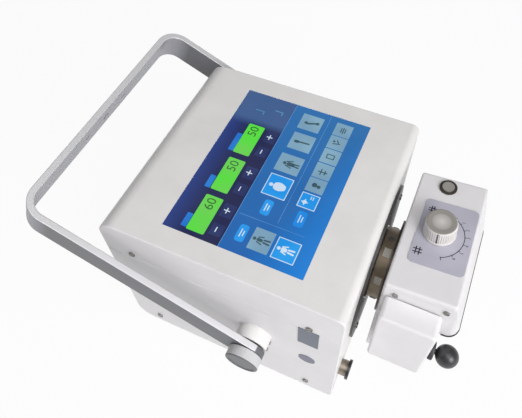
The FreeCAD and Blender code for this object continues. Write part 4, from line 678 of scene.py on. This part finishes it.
readout_light = lit("readout_light", plain_light(linear(86, 226, 60), linear(104, 214, 78)))
tile_light = lit("tile_light", plain_light(linear(120, 160, 188), linear(132, 174, 198)))
tab_light = lit("tab_light", plain_light(linear(14, 112, 206), linear(30, 132, 222)))
button_light = lit("button_light", plain_light(linear(6, 136, 230), linear(24, 156, 242)))
chosen_light = lit("chosen_light", plain_light(linear(12, 150, 236), linear(28, 166, 246)))
line_light = lit("line_light", plain_light(linear(74, 136, 206), linear(94, 156, 220)))
white_light = lit("white_light", plain_light(linear(206, 226, 246), linear(222, 236, 250)))
key_light = lit("key_light", plain_light(linear(24, 38, 92), linear(34, 50, 106)))
ink_light = lit("ink_light", plain_light(linear(52, 84, 96), linear(62, 96, 106)))
digit_light = lit("digit_light", plain_light(linear(34, 96, 38), linear(44, 108, 48)))
faint_light = lit("faint_light", plain_light(linear(72, 132, 170), linear(84, 150, 184)))
piece("screen_readouts", tiles(READOUTS, 1.6), readout_light, "case")
piece("screen_tiles", tiles(GREY_TILES, 0.4), tile_light, "case")
piece("screen_tabs", tiles(TABS, 0.8), tab_light, "case")
piece("screen_buttons", tiles(BUTTONS, 3.0), button_light, "case")
piece("screen_chosen_rims", tiles(CHOSEN_TILES, 0.5), white_light, "case")
inner_tiles = [(right, up, width - 2 * CHOSEN_RIM, height - 2 * CHOSEN_RIM)
               for right, up, width, height in CHOSEN_TILES]
piece("screen_chosen_tiles", tiles(inner_tiles, 0.3, 0.03, 0.07), chosen_light,
      "case")
piece("screen_keys", tiles(KEY_BOXES, 1.0), key_light, "case")
piece("screen_digits", [figures(value, 15.0, (right + 13.0, up + 0.4), 0.03, 0.08, on_screen)
      for value, (right, up, _, _) in zip(READOUT_VALUES, READOUTS)],
      digit_light, "case")
piece("screen_lines", [
    plate(rounded_box(211.0, 0.7, 0.3, (0.0, 14.0)), 0.0, 0.05, on_screen),
    plate(rounded_box(160.0, 0.5, 0.2, (23.0, -31.0)), 0.0, 0.05, on_screen),
    plate(rounded_box(0.5, 74.0, 0.2, (-61.0, -26.0)), 0.0, 0.05, on_screen),
], line_light, "case")

# %% [markdown]
# The symbols on the tiles are plain signs made of bars and discs: plus and minus keys, simple
# figures for the body parts, and lines where a real screen has small words.


# %% Screen symbols
def sign(bars, discs, low=0.04, high=0.08):
    """Bars (right, up, width, height, degrees) and discs (right, up, radius) as plates."""
    made = [plate(rounded_box(width, height, min(width, height) * 0.45, (right, up),
                              math.radians(turn), 3), low, high, on_screen)
            for right, up, width, height, turn in bars]
    made += [plate(circle(radius, 20, (right, up)), low, high, on_screen)
             for right, up, radius in discs]
    return made


def figure(right, up, size, width=0.2):
    """A standing figure: head, body, two arms and two legs, drawn to a size."""
    bars = [(0, 0.12, width, 0.36, 0), (-0.09, -0.28, 0.1, 0.42, -6), (0.09, -0.28, 0.1, 0.42, 6),
            (-0.19, 0.1, 0.07, 0.36, -16), (0.19, 0.1, 0.07, 0.36, 16)]
    placed = [(right + a * size, up + b * size, w * size, h * size, turn)
              for a, b, w, h, turn in bars]
    return placed, [(right, up + 0.42 * size, 0.1 * size)]


keys = sign([bar for right, up, _, _ in KEY_BOXES[::2]
             for bar in ((right, up + 1.0, 7.4, 1.2, 0), (right, up + 1.0, 1.2, 7.4, 0))]
            + [(right, up + 1.0, 6.4, 1.2, 0) for right, up, _, _ in KEY_BOXES[1::2]], [])
standing_bars, standing_head = figure(-82.0, -24.4, 19.0)
dark_signs = sign(
    standing_bars + [
        (84.0, -13.5, 2.6, 13.0, 20), (52.6, -13.0, 2.2, 19.0, 4), (52.0, -6.8, 4.0, 6.5, 4),
        (18.2, -13.5, 5.4, 9.5, 0), (16.8, -20.0, 1.8, 8.0, -4), (19.8, -20.0, 1.8, 8.0, 4),
        (14.4, -11.5, 1.4, 8.5, -18), (22.0, -11.5, 1.4, 8.5, 18),
        (88.0, -48.6, 7.5, 1.3, 0), (88.0, -51.0, 9.5, 1.3, 0), (88.0, -53.4, 7.0, 1.3, 0),
        (66.2, -50.4, 1.4, 9.0, 14), (69.8, -51.0, 5.4, 1.4, 30), (43.2, -50.7, 1.3, 9.5, 0),
        (48.8, -50.7, 1.3, 9.5, 0), (46.0, -46.5, 6.0, 1.3, 0), (46.0, -54.9, 6.0, 1.3, 0),
        (22.3, -50.5, 1.4, 11.0, 0), (22.3, -48.4, 9.0, 1.3, 0), (22.3, -53.0, 6.5, 1.3, 0),
    ],
    standing_head + [(83.0, -6.0, 2.0), (86.0, -19.6, 2.2), (18.2, -6.4, 2.1), (69.0, -46.8, 1.5),
                     (3.0, -48.4, 3.0), (2.0, -53.4, 2.2)],
)
broad_bars, broad_head = figure(-82.5, -51.5, 19.0, 0.26)
white_signs = sign(
    broad_bars + [(-14.5, -13.6, 11.0, 13.5, 0), (-14.5, -18.5, 8.0, 6.0, 0),
                  (-21.5, -46.6, 1.2, 8.0, 0), (-21.5, -46.6, 8.0, 1.2, 0),
                  (-14.4, -51.5, 4.6, 1.0, 0), (-14.4, -54.0, 4.6, 1.0, 0)]
    + [(right, up + 1.2, 10.0, 1.1, 0) for right, up, _, _ in BUTTONS]
    + [(right, up - 1.8, 7.0, 1.1, 0) for right, up, _, _ in BUTTONS],
    broad_head + [(-14.5, -4.4, 2.3), (-21.5, -46.6, 2.4)], 0.06, 0.1,
)
faint_signs = sign([(79.0, 52.0, 1.4, 12.0, 0), (76.5, 47.0, 5.0, 1.4, 0),
                    (86.0, 30.0, 1.4, 11.0, 0), (83.4, 25.4, 5.0, 1.4, 0)], [])
piece("screen_key_signs", keys, white_light, "case")
piece("screen_dark_signs", dark_signs, ink_light, "case")
piece("screen_white_signs", white_signs, white_light, "case")
piece("screen_faint_signs", faint_signs, faint_light, "case")

# %% [markdown]
# The lid of the collimator slopes by five degrees. Everything printed on it is placed with one
# function, from distances along the slope, across it and above it.

# %% Scale plate and its print
LID_TILT = math.radians(5.0)
LID_X, LID_Z = 158.8, 237.0
DIAL_CENTRE = np.array([35.5, 1.5])
ARC_CENTRE = np.array([33.5, -1.0])
ARC_RADIUS, ARC_WIDTH, TICK_WIDTH, BAR_WIDTH = 27.5, 0.8, 0.7, 1.15
PRINT_LOW, PRINT_HIGH = 0.79, 0.84


def on_lid(points):
    """Lid millimetres (along the slope, across, above) to the world."""
    along, across, rise = np.moveaxis(points, -1, 0)
    return np.stack([LID_X + along * math.cos(LID_TILT) - rise * math.sin(LID_TILT), across,
                     LID_Z + along * math.sin(LID_TILT) + rise * math.cos(LID_TILT)],
                    axis=-1) * MM


def around_dial(radius, degrees):
    """A spot on the lid by its distance and direction from the middle of the scale."""
    turn = np.radians(degrees)
    return ARC_CENTRE + np.stack([radius * np.cos(turn), radius * np.sin(turn)], axis=-1)


plate_print = finish("plate_print", linear(34, 34, 48), linear(48, 48, 62), (0.5, 0.6),
                     depth=0.000005)
wear("scale_plate", finish("plate_lilac", linear(178, 177, 190), linear(187, 186, 199),
                           (0.38, 0.48), depth=0.00001, Coat_Weight=0.2))
arc = ribbon(around_dial(ARC_RADIUS, np.linspace(-70.0, 60.0, 60)), ARC_WIDTH,
             PRINT_LOW, PRINT_HIGH, on_lid)
TICKS = [(-70.0, 3.2), (-46.0, 1.8), (-27.0, 1.8), (-8.0, 1.8), (10.0, 1.8), (27.0, 1.8),
         (44.0, 1.8), (60.0, 2.6)]
ticks = [ribbon(around_dial(np.linspace(ARC_RADIUS - length * 0.3, ARC_RADIUS + length, 4), spot),
                TICK_WIDTH, PRINT_LOW, PRINT_HIGH, on_lid) for spot, length in TICKS]
NUMBERS = [("1", 44.0), ("2", 27.0), ("3", 10.0), ("4", -8.0), ("5", -27.0), ("6", -46.0)]
numbers = [figures(text, 4.6, around_dial(ARC_RADIUS + 4.0, spot), PRINT_LOW, PRINT_HIGH, on_lid,
                   math.radians(90.0)) for text, spot in NUMBERS]


def window_sign(along, across, gap, reach):
    """Four crossing bars with a square window between them: the field of light."""
    bars = [(along, across + side * gap, reach, BAR_WIDTH) for side in (-1, 1)]
    bars += [(along + side * gap, across, BAR_WIDTH, reach) for side in (-1, 1)]
    return [plate(rounded_box(length, height, 0.3, (a, b), 0.0, 3), PRINT_LOW, PRINT_HIGH,
                  on_lid) for a, b, length, height in bars]


piece("scale_print", [arc] + ticks + numbers + window_sign(22.5, 26.6, 1.3, 9.0)
      + window_sign(20.0, -26.7, 1.8, 9.6), plate_print, "collimator")

# %% [markdown]
# The aperture knob is moulded from pale plastic: a wide grip that narrows a little upward, with
# fine ribs, a low skirt below them and a slightly dished top. Its profile spins round the axis,
# and a cosine wave adds the ribs to the radius only where the grip is.

# %% Aperture knob
RIBS, RIB_DEPTH, RIB_FOOT, RIB_TOP, CAP_START = 44, 0.34, 3.8, 20.2, 20.6
KNOB_PROFILE = [(16.6, 1.15), (17.0, 1.5), (17.0, 3.0), (16.8, 3.4), (16.3, 3.8), (16.15, 4.4),
                (16.15, 6.0), (16.1, 10.0), (16.0, 14.0), (15.9, 18.2), (15.75, 19.4),
                (15.5, 20.3), (15.0, 20.85), (14.3, 21.05), (13.4, 21.0), (9.0, 20.75),
                (0.4, 20.65)]


def on_dial(points):
    """Millimetres about the knob's own axis to the world."""
    return on_lid(points + np.array([DIAL_CENTRE[0], DIAL_CENTRE[1], 0.0]))


def grip_ribs(turn, height):
    """A cosine round the knob, faded in above the skirt and out below the top edge."""
    fade = np.clip(height - RIB_FOOT, 0, 1) * np.clip(RIB_TOP - height, 0, 1)
    return RIB_DEPTH * np.cos(RIBS * turn) * fade


knob_plastic = finish("knob_plastic", linear(212, 208, 206), linear(222, 218, 216),
                      (0.42, 0.52), inputs={"Peel": 800.0}, depth=0.00003)
LID_NORMAL = Vector((-math.sin(LID_TILT), 0.0, math.cos(LID_TILT)))
banded(knob_plastic, tuple(LID_NORMAL),
       (LID_NORMAL.dot(Vector((LID_X, 0.0, LID_Z))) + CAP_START) * MM, linear(150, 146, 141), 0.4)
piece("aperture_grip", [spun(KNOB_PROFILE, RIBS * 8, on_dial, grip_ribs)], knob_plastic,
      "aperture_dial", ["aperture_knob"], 50.0)


def index_line():
    """A flat bar that follows the knob's side: (across, out from the axis, up)."""
    side = np.array(KNOB_PROFILE[5:10] + [(15.6, 20.1)])
    across = np.array([-0.55, 0.55, 0.55, -0.55])
    out = np.array([0.4, 0.4, -0.6, -0.6])
    grid = np.stack([across + 0 * side[:, :1], -(side[:, :1] + out),
                     side[:, 1:] + 0 * across], axis=-1)
    return shell(on_dial(grid[:, ::-1]))


piece("aperture_index", [index_line()], plate_print, "aperture_dial")

# %% [markdown]
# The accessory lock is a black ball on a short stem with a knurled nut behind it. One profile
# runs from the nut's back face to the ball's pole, and the knurl is a fine ripple on the nut.

# %% Accessory lock
BALL_CENTRE, BALL_RADIUS = 240.3, 12.0
LOCK_SIDE, LOCK_HEIGHT = -88.0, 163.0
KNURLS, KNURL_DEPTH, KNURL_BACK, KNURL_FRONT = 36, 0.18, 222.5, 226.7


def on_lock(points):
    """Millimetres about the lock's axis, which points forward along X."""
    aside, up, forward = np.moveaxis(points, -1, 0)
    return np.stack([forward, aside + LOCK_SIDE, up + LOCK_HEIGHT], axis=-1) * MM


def lock_profile():
    """Nut, neck and ball: the ball's radius is the sine of an angle, its height the cosine."""
    nut = [(9.2, 222.15), (9.8, 222.7), (9.8, 223.7), (9.8, 224.9), (9.8, 226.4), (9.2, 227.0),
           (4.6, 227.1), (3.0, 227.4), (3.0, 228.3)]
    angle = np.linspace(math.asin(3.2 / BALL_RADIUS), math.pi - 0.02, 30)
    ball = [(BALL_RADIUS * math.sin(a), BALL_CENTRE - BALL_RADIUS * math.cos(a)) for a in angle]
    return nut + ball


def knurl(turn, height):
    """A fine ripple, only on the nut's rim."""
    on_rim = (height > KNURL_BACK) & (height < KNURL_FRONT)
    return KNURL_DEPTH * np.cos(KNURLS * turn) * on_rim


ball_black = finish("ball_black", linear(44, 43, 46), linear(54, 53, 56), (0.3, 0.42),
                    inputs={"Peel": 600.0}, Coat_Weight=0.2, Coat_Roughness=0.3)
piece("lock_grip", [spun(lock_profile(), KNURLS * 4, on_lock, knurl)], ball_black,
      "accessory_lock", ["lock_knob"], 50.0)

# %% [markdown]
# A dark strip runs along the lower edge of the hood, where its leaning front ends: painted
# shade, a thin piece in the rubber finish that stands for the shadow line under the hood's
# edge. It follows the outline of the hood: round the near corner, across the front and round
# the far corner, with a short run behind each. A small rectangle is carried along that path.

# %% Hood shadow lip
HOOD_FRONT, HOOD_HALF, HOOD_CORNER, HOOD_LOW = 243.3, 73.8, 13.0, 176.4
LIP_RUN, LIP_PROUD, LIP_SUNK, LIP_HIGH = 3.0, 1.0, 0.1, 1.5


def hood_path(out, steps=10):
    """The hood's plan, moved out by a distance: two quarter circles joined by straight runs."""
    turn = np.linspace(0.0, np.pi / 2, steps)
    radius = HOOD_CORNER + out
    far_x = HOOD_FRONT - HOOD_CORNER + radius * np.cos(turn)
    far_y = HOOD_HALF - HOOD_CORNER + radius * np.sin(turn)
    start = np.array([[HOOD_FRONT - HOOD_CORNER - LIP_RUN, HOOD_HALF + out]])
    far = np.concatenate([np.column_stack([far_x, far_y]), start])
    return np.concatenate([(far * [1, -1])[::-1], far])


def shadow_lip_skin():
    """A rectangle carried along the path from the near side, a little sunk in the hood."""
    corners = ((-LIP_SUNK, 0.0), (LIP_PROUD, 0.0), (LIP_PROUD, LIP_HIGH), (-LIP_SUNK, LIP_HIGH))
    loops = []
    for out, rise in corners:
        path = hood_path(out)
        loops.append(np.column_stack([path, np.full(len(path), HOOD_LOW + rise)]))
    return shell(np.stack(loops, axis=1) * MM)


# Painted shade: a dark strip in the rubber finish that stands for the shadow line under the hood's
# edge.
piece("hood_shadow_lip", [shadow_lip_skin()], rubber, "collimator")

# %% [markdown]
# The two blank plates on the near side are thin enamelled metal. The upright one is blue grey
# and the round one below it is lilac, so a band along Z divides the finish between them.

# %% Near plates
PLATE_SPLIT = 135 * MM
blank_enamel = finish("blank_enamel", linear(88, 88, 112), linear(106, 106, 130), (0.35, 0.45),
                      inputs={"Patch": 160.0}, depth=0.00001, Coat_Weight=0.2)
banded(blank_enamel, (0.0, 0.0, 1.0), PLATE_SPLIT, linear(70, 80, 100), 0.35)
wear("blank_plates", blank_enamel)

# %% [markdown]
# Four low domed screws hold the fan's guard on the back, one at each corner of its frame. One
# function makes them, because they differ only in place.

# %% Rear screws
BACK_FACE = -139.5
HEAD_RADIUS, CORNER_INSET, DOME_SHARE, RECESS_DEPTH = 2.9, 5.0, 0.55, 0.5


def on_back(spot):
    """A place function for a screw head on the back face: its axis points along -X."""
    def place(points):
        aside, up, rise = np.moveaxis(points, -1, 0)
        return np.stack([BACK_FACE - rise, spot[0] - aside, spot[1] + up], axis=-1) * MM
    return place


def domed_head(spot):
    """A dome whose radius falls as a circle's arc, with a small flat recess in the middle."""
    angle = np.linspace(0.0, 1.15, 8)
    dome = [(HEAD_RADIUS * math.cos(a), HEAD_RADIUS * DOME_SHARE * math.sin(a)) for a in angle]
    top = dome[-1][1]
    floor_level = top - RECESS_DEPTH
    recess = [(HEAD_RADIUS * 0.3, top), (HEAD_RADIUS * 0.26, floor_level), (0.1, floor_level)]
    return spun([(HEAD_RADIUS, -0.2)] + dome + recess, 28, on_back(spot))


fan_low, fan_high = (np.array(corner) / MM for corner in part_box("fan_frame"))
fan_spots = [(y, z) for y in (fan_low[1] + CORNER_INSET, fan_high[1] - CORNER_INSET)
             for z in (fan_low[2] + CORNER_INSET, fan_high[2] - CORNER_INSET)]
piece("fan_screws", [domed_head(spot) for spot in fan_spots], screw_steel, "case")
print("fan screws at", np.round(fan_spots, 1).tolist())

# %% [markdown]
# The floor is a large pale sheet. Seen directly it is almost white, and it still takes a soft
# shadow, because part of its light is its own and part is what falls on it.


# %% Floor and backdrop
FLOOR_REACH, FLOOR_DROP, FLOOR_COUNT, OWN_LIGHT = 6.0, 0.0002, 41, 0.93


def floor_skin():
    """Points and quads of a square grid just below the ground level of the feet."""
    span = np.linspace(-FLOOR_REACH, FLOOR_REACH, FLOOR_COUNT)
    x, y = np.meshgrid(span, span, indexing="ij")
    points = np.stack([x, y, np.full_like(x, -FLOOR_DROP)], axis=-1).reshape(-1, 3)
    row, column = np.meshgrid(*[np.arange(FLOOR_COUNT - 1)] * 2, indexing="ij")
    first = row * FLOOR_COUNT + column
    quads = np.stack([first, first + FLOOR_COUNT, first + FLOOR_COUNT + 1, first + 1], axis=-1)
    return points.tolist(), quads.reshape(-1, 4).tolist()


floor_mesh = bpy.data.meshes.new("floor")
floor_points, floor_quads = floor_skin()
floor_mesh.from_pydata(floor_points, [], floor_quads)
floor = bpy.data.objects.new("floor", floor_mesh)
bpy.context.scene.collection.objects.link(floor)

floor_paint = bpy.data.materials.new("floor_paint")
floor_paint.use_nodes = True
tree = floor_paint.node_tree
shader = tree.nodes["Principled BSDF"]
shader.inputs["Base Color"].default_value = (0.8, 0.8, 0.8, 1.0)
shader.inputs["Roughness"].default_value = 0.9
glow = add(tree, "Emission", Strength=1.0)
ray = add(tree, "LightPath")
seen = add(tree, "Math", operation="MAXIMUM")
share = add(tree, "Math", operation="MULTIPLY")
share.inputs[1].default_value = OWN_LIGHT
blend = tree.nodes.new("ShaderNodeMixShader")
tree.links.new(ray.outputs["Is Camera Ray"], seen.inputs[0])
tree.links.new(ray.outputs["Is Glossy Ray"], seen.inputs[1])
tree.links.new(seen.outputs[0], share.inputs[0])
tree.links.new(share.outputs[0], blend.inputs[0])
tree.links.new(shader.outputs[0], blend.inputs[1])
tree.links.new(glow.outputs[0], blend.inputs[2])
tree.links.new(blend.outputs[0], tree.nodes["Material Output"].inputs["Surface"])
floor_mesh.materials.append(floor_paint)

# %% [markdown]
# The light is one broad soft lamp on the collimator's side and a weaker one high over the near
# side, which leaves the round back edge in half shade. The world gives the rest, and shows
# white where the camera sees past the floor.

# %% Lamps
AMBIENT = 0.23


def soft_lamp(name, spot, target, size, power):
    """A square area lamp that faces its target."""
    data = bpy.data.lights.new(name, "AREA")
    data.size, data.energy = size, power
    lamp_object = bpy.data.objects.new(name, data)
    bpy.context.scene.collection.objects.link(lamp_object)
    aim = Vector(target) - Vector(spot)
    turned = aim.to_track_quat("-Z", "Y").to_matrix().to_4x4()
    lamp_object.matrix_world = Matrix.Translation(spot) @ turned


soft_lamp("key_lamp", (1.7, -1.1, 1.35), (0.0, 0.0, 0.15), 1.3, 40.0)
soft_lamp("top_lamp", (0.5, -0.7, 2.3), (0.0, 0.0, 0.1), 1.6, 20.0)
world = bpy.data.worlds.new("studio")
bpy.context.scene.world = world
world.use_nodes = True
tree = world.node_tree
behind = tree.nodes["Background"]
ray = add(tree, "LightPath")
seen = add(tree, "Math", operation="MAXIMUM")
strength = add(tree, "MapRange")
strength.inputs["To Min"].default_value = AMBIENT
strength.inputs["To Max"].default_value = 1.0
tree.links.new(ray.outputs["Is Camera Ray"], seen.inputs[0])
tree.links.new(ray.outputs["Is Transmission Ray"], seen.inputs[1])
tree.links.new(seen.outputs[0], strength.inputs["Value"])
tree.links.new(strength.outputs[0], behind.inputs["Strength"])
behind.inputs["Color"].default_value = (1.0, 1.0, 1.0, 1.0)
